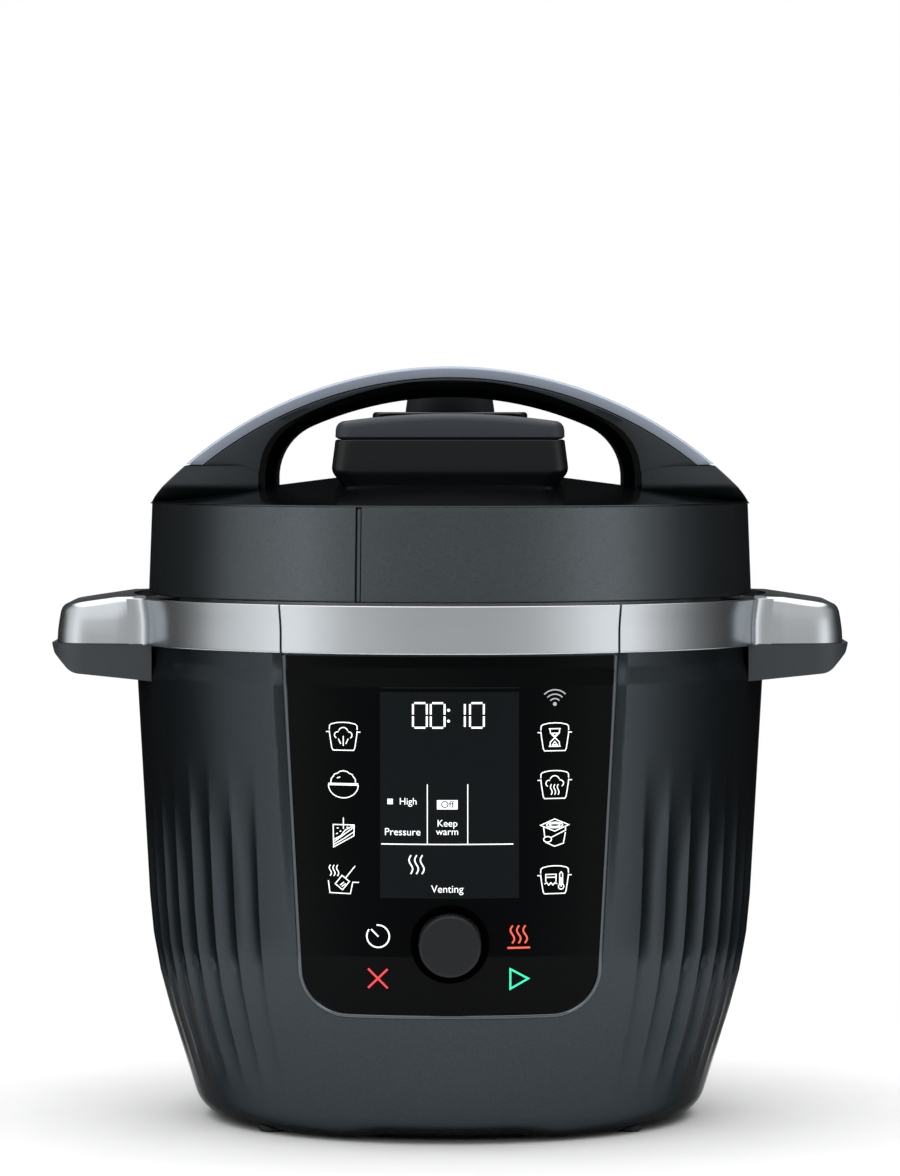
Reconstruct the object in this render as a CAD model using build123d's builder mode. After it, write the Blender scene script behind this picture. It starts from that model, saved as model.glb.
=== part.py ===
"""Electric pressure cooker with a lift-off lid, as separate pieces around one upright axis.

Millimetres. +Z is up, the control panel faces -Y, and the origin is on the floor under the
middle of the pot. Heights run from the rubber feet at 0 to the top of the lid handle.
"""
import math
import os

from build123d import *

# The two sizes that everything else follows: radii from the pot, heights from the body shell
POT_RADIUS = 112.5
SHELL_TOP = 203.0

# Body shell: an upper and a lower cone joined by a long curve, closed in at the foot
FOOT_RADIUS = POT_RADIUS - 6.3        # lower cone carried down to the bottom edge
KNEE_RADIUS = POT_RADIUS + 15.2
SHOULDER_RADIUS = POT_RADIUS + 21.9
NECK_RADIUS = POT_RADIUS + 19.5       # cove below the trim ring
SHELL_BOTTOM = 1.0
KNEE_Z = 70.3
SHOULDER_Z = SHELL_TOP - 13.0
NECK_Z = SHELL_TOP - 5.5
KNEE_BLEND = 200.0
FOOT_BLEND = 14.5
SHOULDER_BLEND = 5.0
SHELL_WALL = 2.6
SHELL_WALL_IN = 2.7                   # the same wall measured level, since it slopes
SHELL_OPENING = POT_RADIUS - 26.5     # bottom opening, closed by the base plate
LEDGE_THICKNESS = 2.2                 # inward flange that carries liner and bayonet ring
LEDGE_RADIUS = POT_RADIUS + 6.0
LEDGE_DROP = 2.4
INSIDE_WALL = LEDGE_RADIUS - 18.5     # where blocks start that are later cut back to the body

# Feet and base plate
FOOT_RING_R = SHELL_OPENING + 11.31
FOOT_ANGLE = 39.58                    # degrees from +X
FOOT_R = 5.2
FOOT_HEIGHT = 7.0
FOOT_CHAMFER = 0.8
BASE_PLATE = 2.4
BASE_PLATE_R = SHELL_OPENING + 6.0
BASE_SCREW_R = SHELL_OPENING + 3.0
BASE_SCREW_ANGLES = (20, 160, 200, 340)
VENT_WIDTH = 3.4
SCREW_R = 1.5
SCREW_HEAD_R = 3.0
SCREW_LENGTH = 9.0
HOLE_CLEARANCE = 0.1

# Trim ring
RING_INNER = POT_RADIUS + 13.4
RING_CORE = RING_INNER + 5.3
RING_RADIUS = RING_CORE + 4.7
LIP_RADIUS = RING_RADIUS + 1.9
LIP_WIDTH = 1.7
RING_BOTTOM = SHELL_TOP + 0.2
RING_TOP = RING_BOTTOM + 19.9
RING_FLOOR = RING_TOP - 1.8           # moat between lip and lid
RING_EDGE = 0.8
RING_FLARE_BLEND = 4.0
FRONT_SEAM = 32.0                     # degrees each side of the front
REAR_SEAM = 28.0                      # degrees each side of the rear
SEAM_GAP = 1.2

# Side handles
HANDLE_REACH = LIP_RADIUS + 28.9
GRIP_REACH = HANDLE_REACH + 2.4
HANDLE_HALF_WIDTH = 47.0
HANDLE_SPLAY = 4.0                    # wider by this at the body, and nearly as much less at the end
HANDLE_CORNER = 16.0
HANDLE_TOP = RING_TOP + 1.1
HANDLE_EDGE_Z = RING_TOP - 2.3
PARTING_Z = SHELL_TOP + 1.0
PARTING_GAP = 0.1                     # each side of the parting plane
BODY_CLEARANCE = 0.15
GRIP_BOTTOM = SHELL_TOP - 15.8
GRIP_LIFT = 4.3                       # the grip's underside rises this much towards its end
GRIP_WALL = 3.2
RECESS_HALF = HANDLE_HALF_WIDTH - 14.0

# Cooking side
LINER_RADIUS = POT_RADIUS + 2.5
LINER_WALL = 1.0
LINER_FLOOR = 34.0
LINER_FLOOR_R = LINER_RADIUS - 16.0   # the liner narrows to this, clear of the tapered shell
LINER_TAPER_Z = 54.0
LINER_CORNER = 4.0
LINER_FLANGE = LINER_RADIUS + 11.0
LINER_FLANGE_THICKNESS = 1.2
POT_WALL = 1.0
POT_FLOOR = 50.3
POT_CORNER = 14.0
POT_RIM_RADIUS = POT_RADIUS + 4.5
POT_RIM_THICKNESS = 1.2
POT_TOP = SHELL_TOP + 2.0
PLATE_RADIUS = POT_RADIUS - 16.5
PLATE_THICKNESS = 8.0
PLATE_CHAMFER = 1.5
PLATE_LEG_R = 6.0
PLATE_LEG_RING_R = PLATE_RADIUS - 12.0
COIL_RADIUS = PLATE_RADIUS - 26.0
COIL_TUBE = 3.2
SENSOR_HOLE = 17.0
SENSOR_CAP_R = 14.0
SENSOR_STEM = 9.0                     # height of the sensor's stem, which the spring pushes
SENSOR_STEM_R = 5.0
BRACKET_DROP = 4.0                    # the bracket hangs this far below the liner's floor
BRACKET_WALL = 2.0
REST_GAP = 0.3                        # between pieces that only rest on one another

# Bayonet
BAYONET_WALL_IN = POT_RADIUS + 10.9
BAYONET_WALL = 2.0
BAYONET_FLANGE = 1.2
BAYONET_TOP = SHELL_TOP + 16.6
LUG_INNER = BAYONET_WALL_IN - 3.2
LUG_Z = SHELL_TOP + 11.4
LUG_THICKNESS = 3.0
LUG_COUNT = 6
LUG_ARC = 27.0                        # degrees; the lid opens at half a pitch, 30 degrees
TAB_CLEARANCE = 0.4                   # tab tips to lug tips, so that the lid can rise at any angle

# Lid
LID_BOTTOM = RING_TOP + 0.9
LID_RIM_Z = LID_BOTTOM + 39.4
LID_RIM_R = POT_RADIUS + 15.3
LID_BASE_R = LID_RIM_R + 1.5
LID_EDGE = 0.6
DOME_SLOPE = 16.3 / 128.0
DOME_BLEND = 60.0
CROWN_R = 26.0
CROWN_Z = LID_RIM_Z + DOME_SLOPE * (LID_RIM_R - CROWN_R)
LID_APEX_Z = CROWN_Z + 1.24
LID_WALL = 2.5
LID_FLOOR = 2.0
LID_LINER_R = POT_RADIUS + 3.7
LID_LINER_WALL = 1.2
LID_FLOOR_IN = LID_LINER_R + 0.5
LID_PLATE_Z = POT_TOP + 8.0
LID_SKIRT_BOTTOM = LID_PLATE_Z - 3.5
LID_FLANGE_WIDTH = 7.0
TAB_THICKNESS = 2.0
SEAL_R = LID_LINER_R - 1.6
SEAL_WIDTH = 7.4
SEAL_LIP = 3.0
RACK_R = SEAL_R - 9.1
RACK_TUBE = 1.0
RACK_DROP = 5.2
BOSS_RING_R = RACK_R - 9.5
BOSS_R = 5.0
BOSS_ANGLES = (40, 140, 220, 320)
LID_SCREW_LENGTH = 12.0

# Lid handle: two arcs seen from the front, waisted seen from above
ARC_TOP_Z = LID_APEX_Z + 43.4
ARC_HALF_CHORD = LID_RIM_R + 0.2      # half width of the outer arc at the height of the lid's rim
ARC_RISE = ARC_TOP_Z - LID_RIM_Z
ARC_R = (ARC_HALF_CHORD**2 + ARC_RISE**2) / (2 * ARC_RISE)
ARC_Z = ARC_TOP_Z - ARC_R
CAP_THICKNESS = 4.8
CAP_GAP = 0.2
CAP_FOOT = 1.2                        # the cap ends this far above the handle's foot
WINDOW_ARC_R = ARC_R - 23.0
WINDOW_ARC_Z = ARC_Z + 9.9
WINDOW_HALF_WIDTH = LID_RIM_R - 53.9
WINDOW_CORNER = 14.0
HANDLE_SEAM_Z = LID_APEX_Z + 1.4
HANDLE_SPAN = LID_RIM_R + 2.2
HANDLE_WAIST = 23.0                   # half width at the middle
HANDLE_ROOT = 41.0                    # half width at the rim

# Steam release, in front of the handle
HOUSING_HALF_WIDTH = 49.7
HOUSING_TOP_HALF_WIDTH = 48.0
HOUSING_FOOT_INSET = 5.0
HOUSING_FRONT = 67.0
HOUSING_BACK = HANDLE_WAIST + 5.0
HOUSING_SEAM_Z = HANDLE_SEAM_Z + 11.0
HOUSING_FLOOR_Z = HOUSING_SEAM_Z - 12.0
HOUSING_WALL = 2.5
HOUSING_CORNER = 7.0
CAP_SEAM = 0.4
CAP_EDGE_Z = HOUSING_SEAM_Z + 7.3
CAP_CROWN_Z = HOUSING_SEAM_Z + 11.0
DRAIN_WIDTH = 12.0
DRAIN_HEIGHT = 1.6
STEAM_SLOTS = 7
STEAM_SLOT_PITCH = 9.0
STEAM_Y = -(HOUSING_FRONT + HOUSING_BACK) / 2
PIPE_R = 4.5
PIPE_BORE = 2.4
PIPE_FLANGE_R = PIPE_R + 3.0
PIPE_TOP = HOUSING_SEAM_Z - 2.0
VALVE_R = PIPE_R + 6.5
VALVE_TOP = HOUSING_SEAM_Z + 5.0
VALVE_BOTTOM = HOUSING_SEAM_Z - 9.0
SHIELD_R = PIPE_R + 7.5
SHIELD_HEIGHT = 6.0
SHIELD_WALL_IN = SHIELD_R - 2.0
SHIELD_VENTS = 6

# Quick release, behind the handle
BUTTON_BASE_R = 19.5
BUTTON_TOP_R = BUTTON_BASE_R - 1.5
BUTTON_CLEARANCE = 0.6
WELL_WALL = 3.5
PLATFORM_HALF_WIDTH = BUTTON_BASE_R + 14.3
PLATFORM_FRONT = HANDLE_WAIST + 4.5
BUTTON_Y = PLATFORM_FRONT + WELL_WALL + BUTTON_BASE_R
PLATFORM_BACK = BUTTON_Y + BUTTON_BASE_R + WELL_WALL
PLATFORM_TOP = HOUSING_SEAM_Z + 11.6
PLATFORM_CORNER = 9.0
BUTTON_TOP = PLATFORM_TOP + 11.4
BUTTON_SKIRT_Z = PLATFORM_TOP - 4.1
BUTTON_WALL = 2.2
WELL_FLOOR = PLATFORM_TOP - 10.6
SPRING_R = 8.0
SPRING_WIRE = 0.7
SPRING_TURNS = 5

# Float valve
FLOAT_X = -58.0
FLOAT_Y = 34.0
FLOAT_R = 2.6
FLOAT_HEAD_R = 4.6
FLOAT_CLEARANCE = 0.5

# Control panel
KNEE_MARGIN = 30.0                    # skins start this far below the knee, past its blend
PANEL_TOP = SHELL_TOP - 0.7
PANEL_BOTTOM = KNEE_Z - 14.6
PANEL_TOP_HALF = 67.1
PANEL_BOTTOM_HALF = 59.6
PANEL_CORNER = 18.5
GLASS_BACK = -1.2                     # radial distances from the shell's outer face
GLASS_FRONT = 0.5
BEZEL_FRONT = 1.3
BEZEL_GAP = 0.3
BEZEL_WIDTH = 1.6
POCKET_CLEARANCE = 0.15
DIAL_Z = KNEE_Z + 15.1
DISPLAY_HALF = 31.0
DISPLAY_BOTTOM = DIAL_Z + 10.6
DISPLAY_TOP = PANEL_TOP - 10.3

# Dial
DIAL_R = 12.6
DIAL_GAP = 0.5
DIAL_RING_R = DIAL_R + 3.4
DIAL_RING_DEPTH = 2.6
DIAL_BACK = KNEE_RADIUS + 2.9
DIAL_FRONT = DIAL_BACK + 10.0
DIAL_FACE = 4.0                       # thickness of the knob in front of the shaft
DIAL_PUSH = 1.2
DIAL_RIBS = 36
SHAFT_R = 3.0
SHAFT_CLEARANCE = 0.05
ENCODER_HALF = 6.5
ENCODER_DEPTH = 6.0

# Boards
BOARD_THICKNESS = 1.6
CONTROL_BOARD_THICKNESS = 1.4
CONTROL_BOARD_Y = KNEE_RADIUS - 9.7
CONTROL_BOARD_HALF = 33.0
DISPLAY_DEPTH = 3.0
POWER_BOARD_Z = 16.0
POWER_BOARD_HALF_X = 58.0
POWER_BOARD_HALF_Y = 32.0
POST_X = 52.0
POST_Y = 24.0

# Power inlet at the rear (three-pin appliance inlet)
INLET_Z = 21.5
INLET_HALF_WIDTH = 15.0
INLET_HALF_HEIGHT = 11.5
INLET_FACE_Y = FOOT_RADIUS + 10.3
INLET_DEPTH = 18.5
SOCKET_HALF_WIDTH = 12.1
SOCKET_HALF_HEIGHT = 8.25
SOCKET_CORNER = 3.0
SOCKET_DEPTH = 16.0
PIN_SPACING = 7.0
PIN_OFFSET_Z = 4.0
PIN_WIDTH = 2.0
PIN_HEIGHT = 4.0

# Condensation cup at the rear
CUP_HALF_WIDTH = 34.0
CUP_TOP = SHOULDER_Z - 2.0
CUP_BOTTOM = CUP_TOP - 38.0
CUP_REACH = SHOULDER_RADIUS + 10.1
CUP_GAP = 0.6
CUP_WALL = 1.6
CUP_CORNER = 5.0
WING_WIDTH = 4.0
WING_Z = CUP_TOP - 18.0
WING_THICKNESS = 2.0
RAIL_CLEARANCE = 0.4
RAIL_WIDTH = 3.5
RAIL_HEIGHT = 6.0
RAIL_REACH = CUP_REACH - 3.5

os.makedirs("parts", exist_ok=True)


def section(points, rounded=None, plane=Plane.XZ):
    """Closed face through the points; rounded maps a point's index to its corner radius."""
    with BuildSketch(plane) as face:
        with BuildLine():
            Polyline(*points, close=True)
        make_face()
        for corner, radius in (rounded or {}).items():
            fillet(face.vertices().sort_by_distance(points[corner])[0], radius)
    return face.sketch


def wall_radius(height):
    """Outer radius of the shell's cones, without the blend between them."""
    if height < KNEE_Z:
        share = (height - SHELL_BOTTOM) / (KNEE_Z - SHELL_BOTTOM)
        return FOOT_RADIUS + share * (KNEE_RADIUS - FOOT_RADIUS)
    share = (height - KNEE_Z) / (SHOULDER_Z - KNEE_Z)
    return KNEE_RADIUS + share * (SHOULDER_RADIUS - KNEE_RADIUS)


def wall_band(inner, outer, bottom, top):
    """Section of a skin that follows the shell, inner and outer being radial offsets."""
    outline = [
        (wall_radius(bottom) + inner, bottom),
        (wall_radius(bottom) + outer, bottom),
        (KNEE_RADIUS + outer, KNEE_Z),
        (wall_radius(top) + outer, top),
        (wall_radius(top) + inner, top),
        (KNEE_RADIUS + inner, KNEE_Z),
    ]
    return section(outline, {2: KNEE_BLEND, 5: KNEE_BLEND})


def panel_outline(margin):
    """Front view of the control panel, grown by margin."""
    points = [
        (-PANEL_BOTTOM_HALF - margin, PANEL_BOTTOM - margin),
        (PANEL_BOTTOM_HALF + margin, PANEL_BOTTOM - margin),
        (PANEL_TOP_HALF + margin, PANEL_TOP),
        (-PANEL_TOP_HALF - margin, PANEL_TOP),
    ]
    corner = PANEL_CORNER + margin
    return section(points, {0: corner, 1: corner})


def slab(x_half, y_low, y_high, z_low):
    """Rectangle in plan, centred left to right."""
    with BuildSketch(Plane.XY.offset(z_low)) as plan:
        with Locations((0, (y_low + y_high) / 2)):
            Rectangle(2 * x_half, y_high - y_low)
    return plan.sketch


def rounded_slab(x_half, y_low, y_high, z_low, corner):
    """The same with rounded corners."""
    with BuildSketch(Plane.XY.offset(z_low)) as plan:
        with Locations((0, (y_low + y_high) / 2)):
            RectangleRounded(2 * x_half, y_high - y_low, corner)
    return plan.sketch


def disc(radius, z_low, centres=((0, 0),)):
    """Circles in plan at the given centres."""
    with BuildSketch(Plane.XY.offset(z_low)) as plan:
        with Locations(*centres):
            Circle(radius)
    return plan.sketch


def sector(inner, outer, z_low, start, span):
    """Part of a ring in plan, from the angle start and over span degrees."""
    with BuildSketch(Plane.XY.offset(z_low)) as plan:
        with BuildLine():
            Polyline(
                polar(inner, start),
                polar(outer, start),
            )
            ThreePointArc(
                polar(outer, start), polar(outer, start + span / 2), polar(outer, start + span)
            )
            Polyline(
                polar(outer, start + span),
                polar(inner, start + span),
            )
            ThreePointArc(
                polar(inner, start + span), polar(inner, start + span / 2), polar(inner, start)
            )
        make_face()
    return plan.sketch


def polar(radius, degrees):
    """Plan point at an angle from +X."""
    angle = math.radians(degrees)
    return (radius * math.cos(angle), radius * math.sin(angle))


def wedge(start, span):
    """Pie slice in plan that reaches past the whole object."""
    reach = 2 * GRIP_REACH
    points = [(0, 0)] + [polar(reach, start + span * step / 4) for step in range(5)]
    return section(points, plane=Plane.XY)


def coil_spring(x, y, bottom, height, radius, wire, turns):
    """Round-wire compression spring standing on the height bottom."""
    with BuildPart() as spring:
        with BuildLine():
            coil = Helix(
                pitch=(height - 2 * wire) / turns,
                height=height - 2 * wire,
                radius=radius,
                center=(x, y, bottom + wire),
            )
        with BuildSketch(Plane(origin=coil @ 0, z_dir=coil % 0)):
            Circle(wire)
        sweep(is_frenet=True)
    return spring.part


def corners(x, y):
    """The four corner points (+-x, +-y)."""
    return [(sx * x, sy * y) for sx in (-1, 1) for sy in (-1, 1)]


def body_section(gap):
    """Section of everything inside the body's cones grown by gap, up to the shoulder."""
    low = LINER_TAPER_Z
    return section([
        (0, low),
        (wall_radius(low) + gap, low),
        (KNEE_RADIUS + gap, KNEE_Z),
        (SHOULDER_RADIUS + gap, SHOULDER_Z),
        (0, SHOULDER_Z),
    ])


foot_places = corners(*polar(FOOT_RING_R, FOOT_ANGLE))
skin_bottom_z = KNEE_Z - KNEE_MARGIN
base_screw_places = [polar(BASE_SCREW_R, angle) for angle in BASE_SCREW_ANGLES]

# ---------------------------------------------------------------- body shell and its foot
ledge_z = SHELL_TOP - LEDGE_DROP
shell_outline = [
    (SHELL_OPENING, SHELL_BOTTOM),
    (FOOT_RADIUS, SHELL_BOTTOM),
    (KNEE_RADIUS, KNEE_Z),
    (SHOULDER_RADIUS, SHOULDER_Z),
    (NECK_RADIUS, NECK_Z),
    (NECK_RADIUS, SHELL_TOP),
    (NECK_RADIUS - SHELL_WALL, SHELL_TOP),
    (NECK_RADIUS - SHELL_WALL, ledge_z),
    (LEDGE_RADIUS, ledge_z),
    (LEDGE_RADIUS, ledge_z - LEDGE_THICKNESS),
    (NECK_RADIUS - SHELL_WALL, ledge_z - LEDGE_THICKNESS),
    (SHOULDER_RADIUS - SHELL_WALL_IN, SHOULDER_Z - 1),
    (KNEE_RADIUS - SHELL_WALL_IN, KNEE_Z),
    (FOOT_RADIUS - SHELL_WALL_IN, SHELL_BOTTOM + SHELL_WALL),
    (SHELL_OPENING, SHELL_BOTTOM + SHELL_WALL),
]
shell_blends = {
    1: FOOT_BLEND,
    2: KNEE_BLEND,
    3: SHOULDER_BLEND,
    12: KNEE_BLEND,
    13: FOOT_BLEND - SHELL_WALL,
}
front = 2 * GRIP_REACH              # further out than anything in the cooker
with BuildPart() as housing_shell:
    revolve(section(shell_outline, shell_blends), axis=Axis.Z)
    # Pocket for the panel and its bezel, and a window behind the display and dial
    pocket_margin = BEZEL_GAP + BEZEL_WIDTH + POCKET_CLEARANCE
    with BuildPart(mode=Mode.PRIVATE) as pocket:
        pocket_back = GLASS_BACK - POCKET_CLEARANCE
        revolve(wall_band(pocket_back, 8, skin_bottom_z, SHELL_TOP + 5), axis=Axis.Z)
        extrude(panel_outline(pocket_margin), amount=front, mode=Mode.INTERSECT)
    add(pocket.part, mode=Mode.SUBTRACT)
    with BuildSketch(Plane.XZ) as window:
        with Locations((0, (DISPLAY_TOP + DISPLAY_BOTTOM) / 2)):
            RectangleRounded(2 * DISPLAY_HALF, DISPLAY_TOP - DISPLAY_BOTTOM, 3)
        with Locations((0, DIAL_Z)):
            Circle(ENCODER_HALF + 3.5)
    extrude(window.sketch, amount=front, mode=Mode.SUBTRACT)
    foot_holes = disc(FOOT_R + HOLE_CLEARANCE, 0, foot_places)
    extrude(foot_holes, amount=FOOT_HEIGHT + 3, mode=Mode.SUBTRACT)
    screw_holes = disc(SCREW_R + HOLE_CLEARANCE, 0, base_screw_places)
    extrude(screw_holes, amount=FOOT_HEIGHT, mode=Mode.SUBTRACT)
    with BuildSketch(Plane.XZ.offset(INLET_DEPTH - INLET_FACE_Y)) as inlet_window:
        with Locations((0, INLET_Z)):
            Rectangle(2 * INLET_HALF_WIDTH + REST_GAP, 2 * INLET_HALF_HEIGHT + REST_GAP)
    extrude(inlet_window.sketch, amount=-2 * INLET_DEPTH, mode=Mode.SUBTRACT)
housing_shell.part.label = "housing_shell"
export_step(housing_shell.part, "parts/housing_shell.step")

base_plate_z = SHELL_BOTTOM + SHELL_WALL
with BuildPart() as base_plate:
    extrude(disc(BASE_PLATE_R, base_plate_z), amount=BASE_PLATE)
    plate_holes = disc(SCREW_R + HOLE_CLEARANCE, base_plate_z, base_screw_places)
    extrude(plate_holes, amount=BASE_PLATE, mode=Mode.SUBTRACT)
    # Two rings of vent slots
    with BuildSketch(Plane.XY.offset(base_plate_z)):
        with PolarLocations(58, 12):
            SlotOverall(26, VENT_WIDTH)
        with PolarLocations(30, 6):
            SlotOverall(18, VENT_WIDTH)
    extrude(amount=BASE_PLATE, mode=Mode.SUBTRACT)
    # Four posts under the power board
    plate_upper = base_plate_z + BASE_PLATE
    extrude(disc(3, plate_upper, corners(POST_X, POST_Y)), amount=POWER_BOARD_Z - plate_upper)
base_plate.part.label = "base_plate"
export_step(base_plate.part, "parts/base_plate.step")

with BuildPart() as base_screws:
    extrude(disc(SCREW_R, SHELL_BOTTOM - 0.2, base_screw_places), amount=SCREW_LENGTH)
    extrude(disc(SCREW_HEAD_R, SHELL_BOTTOM - 0.7, base_screw_places), amount=0.7)
base_screws.part.label = "base_screws"
export_step(base_screws.part, "parts/base_screws.step")

foot_names = ["foot_front_left", "foot_rear_left", "foot_front_right", "foot_rear_right"]
for foot_name, (foot_x, foot_y) in zip(foot_names, foot_places):
    with BuildPart() as foot:
        extrude(disc(FOOT_R, 0, [(foot_x, foot_y)]), amount=FOOT_HEIGHT)
        chamfer(foot.faces().sort_by(Axis.Z)[0].edges(), FOOT_CHAMFER)
    foot.part.label = foot_name
    export_step(foot.part, f"parts/{foot_name}.step")

# ---------------------------------------------------------------- trim ring
with BuildPart() as ring_carrier:
    carrier_outline = [
        (RING_INNER, RING_BOTTOM),
        (RING_CORE, RING_BOTTOM),
        (RING_CORE, RING_FLOOR),
        (RING_INNER, RING_FLOOR - 1.2),
    ]
    revolve(section(carrier_outline), axis=Axis.Z)
ring_carrier.part.label = "ring_carrier"
export_step(ring_carrier.part, "parts/ring_carrier.step")

cover_outline = [
    (RING_CORE, RING_BOTTOM),
    (RING_RADIUS - RING_EDGE, RING_BOTTOM),
    (RING_RADIUS, RING_BOTTOM + RING_EDGE),
    (RING_RADIUS, RING_TOP - 5),
    (LIP_RADIUS, RING_TOP - 0.5),
    (LIP_RADIUS - 0.5, RING_TOP),
    (LIP_RADIUS - LIP_WIDTH, RING_TOP),
    (LIP_RADIUS - LIP_WIDTH - 0.6, RING_FLOOR),
    (RING_CORE, RING_FLOOR),
]
half_gap = math.degrees(SEAM_GAP / 2 / RING_RADIUS)
ring_cuts = {
    "trim_ring_front": (270 - FRONT_SEAM, 2 * FRONT_SEAM),
    "trim_ring_right": (270 + FRONT_SEAM, 180 - FRONT_SEAM - REAR_SEAM),
    "trim_ring_rear": (90 - REAR_SEAM, 2 * REAR_SEAM),
    "trim_ring_left": (90 + REAR_SEAM, 180 - FRONT_SEAM - REAR_SEAM),
}
for ring_name, (start, span) in ring_cuts.items():
    with BuildPart() as trim_ring:
        revolve(section(cover_outline, {3: RING_FLARE_BLEND}), axis=Axis.Z)
        extrude(
            wedge(start + half_gap, span - 2 * half_gap), amount=RING_TOP + 5, mode=Mode.INTERSECT
        )
    trim_ring.part.label = ring_name
    export_step(trim_ring.part, f"parts/{ring_name}.step")

# ---------------------------------------------------------------- side handles
handle_plan_points = [
    (INSIDE_WALL, -HANDLE_HALF_WIDTH - HANDLE_SPLAY),
    (HANDLE_REACH, -HANDLE_HALF_WIDTH + HANDLE_SPLAY + 1),
    (HANDLE_REACH, HANDLE_HALF_WIDTH - HANDLE_SPLAY - 1),
    (INSIDE_WALL, HANDLE_HALF_WIDTH + HANDLE_SPLAY),
]
cover_bottom = PARTING_Z + PARTING_GAP
handle_side_points = [
    (LEDGE_RADIUS, cover_bottom),
    (HANDLE_REACH, cover_bottom),
    (HANDLE_REACH - 1.3, PARTING_Z + 10),
    (HANDLE_REACH - 5.1, HANDLE_EDGE_Z),
    (LIP_RADIUS, HANDLE_TOP),
    (LEDGE_RADIUS, HANDLE_TOP),
]
grip_side_points = [
    (INSIDE_WALL, PARTING_Z - PARTING_GAP),
    (GRIP_REACH, PARTING_Z - PARTING_GAP),
    (GRIP_REACH - 1.4, PARTING_Z - 4.3),
    (GRIP_REACH - 8.8, GRIP_BOTTOM + GRIP_LIFT),
    (INSIDE_WALL, GRIP_BOTTOM - 1.5),
]
body_room_points = [
    (0, SHOULDER_Z - 80),
    (wall_radius(SHOULDER_Z - 80) + BODY_CLEARANCE, SHOULDER_Z - 80),
    (SHOULDER_RADIUS + BODY_CLEARANCE, SHOULDER_Z),
    (SHOULDER_RADIUS + BODY_CLEARANCE, RING_BOTTOM - 0.2),
    (RING_RADIUS + 0.2, RING_BOTTOM - 0.1),
    (RING_RADIUS + 0.2, RING_TOP),
    (0, RING_TOP),
]
for side_name, side in (("left", -1), ("right", 1)):
    with BuildPart() as cover:
        reach = HANDLE_HALF_WIDTH + HANDLE_SPLAY
        extrude(section(handle_side_points, {2: 8, 3: 5}), amount=reach, both=True)
        plan = section(handle_plan_points, {1: HANDLE_CORNER, 2: HANDLE_CORNER}, Plane.XY)
        extrude(plan, amount=HANDLE_TOP + 1, mode=Mode.INTERSECT)
        extrude(disc(LIP_RADIUS + 0.2, PARTING_Z - 1), amount=HANDLE_TOP, mode=Mode.SUBTRACT)
        if side < 0:
            mirror(about=Plane.YZ, mode=Mode.REPLACE)
    cover.part.label = f"handle_cover_{side_name}"
    export_step(cover.part, f"parts/handle_cover_{side_name}.step")

    with BuildPart() as grip:
        grip_plan = [(x * GRIP_REACH / HANDLE_REACH, y) for x, y in handle_plan_points]
        extrude(section(grip_side_points, {2: 3, 3: 8}), amount=reach, both=True)
        plan = section(grip_plan, {1: HANDLE_CORNER + 1, 2: HANDLE_CORNER + 1}, Plane.XY)
        extrude(plan, amount=PARTING_Z, mode=Mode.INTERSECT)
        with BuildPart(mode=Mode.PRIVATE) as body_room:
            revolve(section(body_room_points), axis=Axis.Z)
        add(body_room.part, mode=Mode.SUBTRACT)
        # Finger recess, open below
        with BuildSketch(Plane.XY.offset(GRIP_BOTTOM - 5)) as recess:
            with Locations(((SHOULDER_RADIUS + GRIP_REACH) / 2 - 1, 0)):
                recess_length = GRIP_REACH - SHOULDER_RADIUS - 4 - 2 * GRIP_WALL
                RectangleRounded(recess_length, 2 * RECESS_HALF, 6)
        extrude(recess.sketch, amount=PARTING_Z - GRIP_WALL - GRIP_BOTTOM + 5, mode=Mode.SUBTRACT)
        if side < 0:
            mirror(about=Plane.YZ, mode=Mode.REPLACE)
    grip.part.label = f"handle_grip_{side_name}"
    export_step(grip.part, f"parts/handle_grip_{side_name}.step")

# ---------------------------------------------------------------- cooking side
with BuildPart() as inner_liner:
    liner_out = LINER_RADIUS + LINER_WALL
    liner_outline = [
        (SENSOR_HOLE + 6, LINER_FLOOR),
        (LINER_FLOOR_R + LINER_WALL, LINER_FLOOR),
        (liner_out, LINER_TAPER_Z),
        (liner_out, ledge_z),
        (LINER_FLANGE, ledge_z),
        (LINER_FLANGE, ledge_z + LINER_FLANGE_THICKNESS),
        (LINER_RADIUS, ledge_z + LINER_FLANGE_THICKNESS),
        (LINER_RADIUS, LINER_TAPER_Z),
        (LINER_FLOOR_R, LINER_FLOOR + LINER_WALL),
        (SENSOR_HOLE + 6, LINER_FLOOR + LINER_WALL),
    ]
    revolve(section(liner_outline, {1: LINER_CORNER, 8: LINER_CORNER - LINER_WALL}), axis=Axis.Z)
inner_liner.part.label = "inner_liner"
export_step(inner_liner.part, "parts/inner_liner.step")

bayonet_z = ledge_z + LINER_FLANGE_THICKNESS
with BuildPart() as bayonet_ring:
    wall_out = BAYONET_WALL_IN + BAYONET_WALL
    ring_outline = [
        (LEDGE_RADIUS + 1, bayonet_z),
        (NECK_RADIUS - SHELL_WALL - 0.2, bayonet_z),
        (NECK_RADIUS - SHELL_WALL - 0.2, bayonet_z + BAYONET_FLANGE),
        (wall_out, bayonet_z + BAYONET_FLANGE),
        (wall_out, BAYONET_TOP),
        (BAYONET_WALL_IN, BAYONET_TOP),
        (BAYONET_WALL_IN, bayonet_z + BAYONET_FLANGE),
        (LEDGE_RADIUS + 1, bayonet_z + BAYONET_FLANGE),
    ]
    revolve(section(ring_outline), axis=Axis.Z)
    for lug in range(LUG_COUNT):
        lug_start = lug * 360 / LUG_COUNT - LUG_ARC / 2
        extrude(
            sector(LUG_INNER, BAYONET_WALL_IN + 0.5, LUG_Z, lug_start, LUG_ARC), amount=LUG_THICKNESS
        )
bayonet_ring.part.label = "bayonet_ring"
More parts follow.
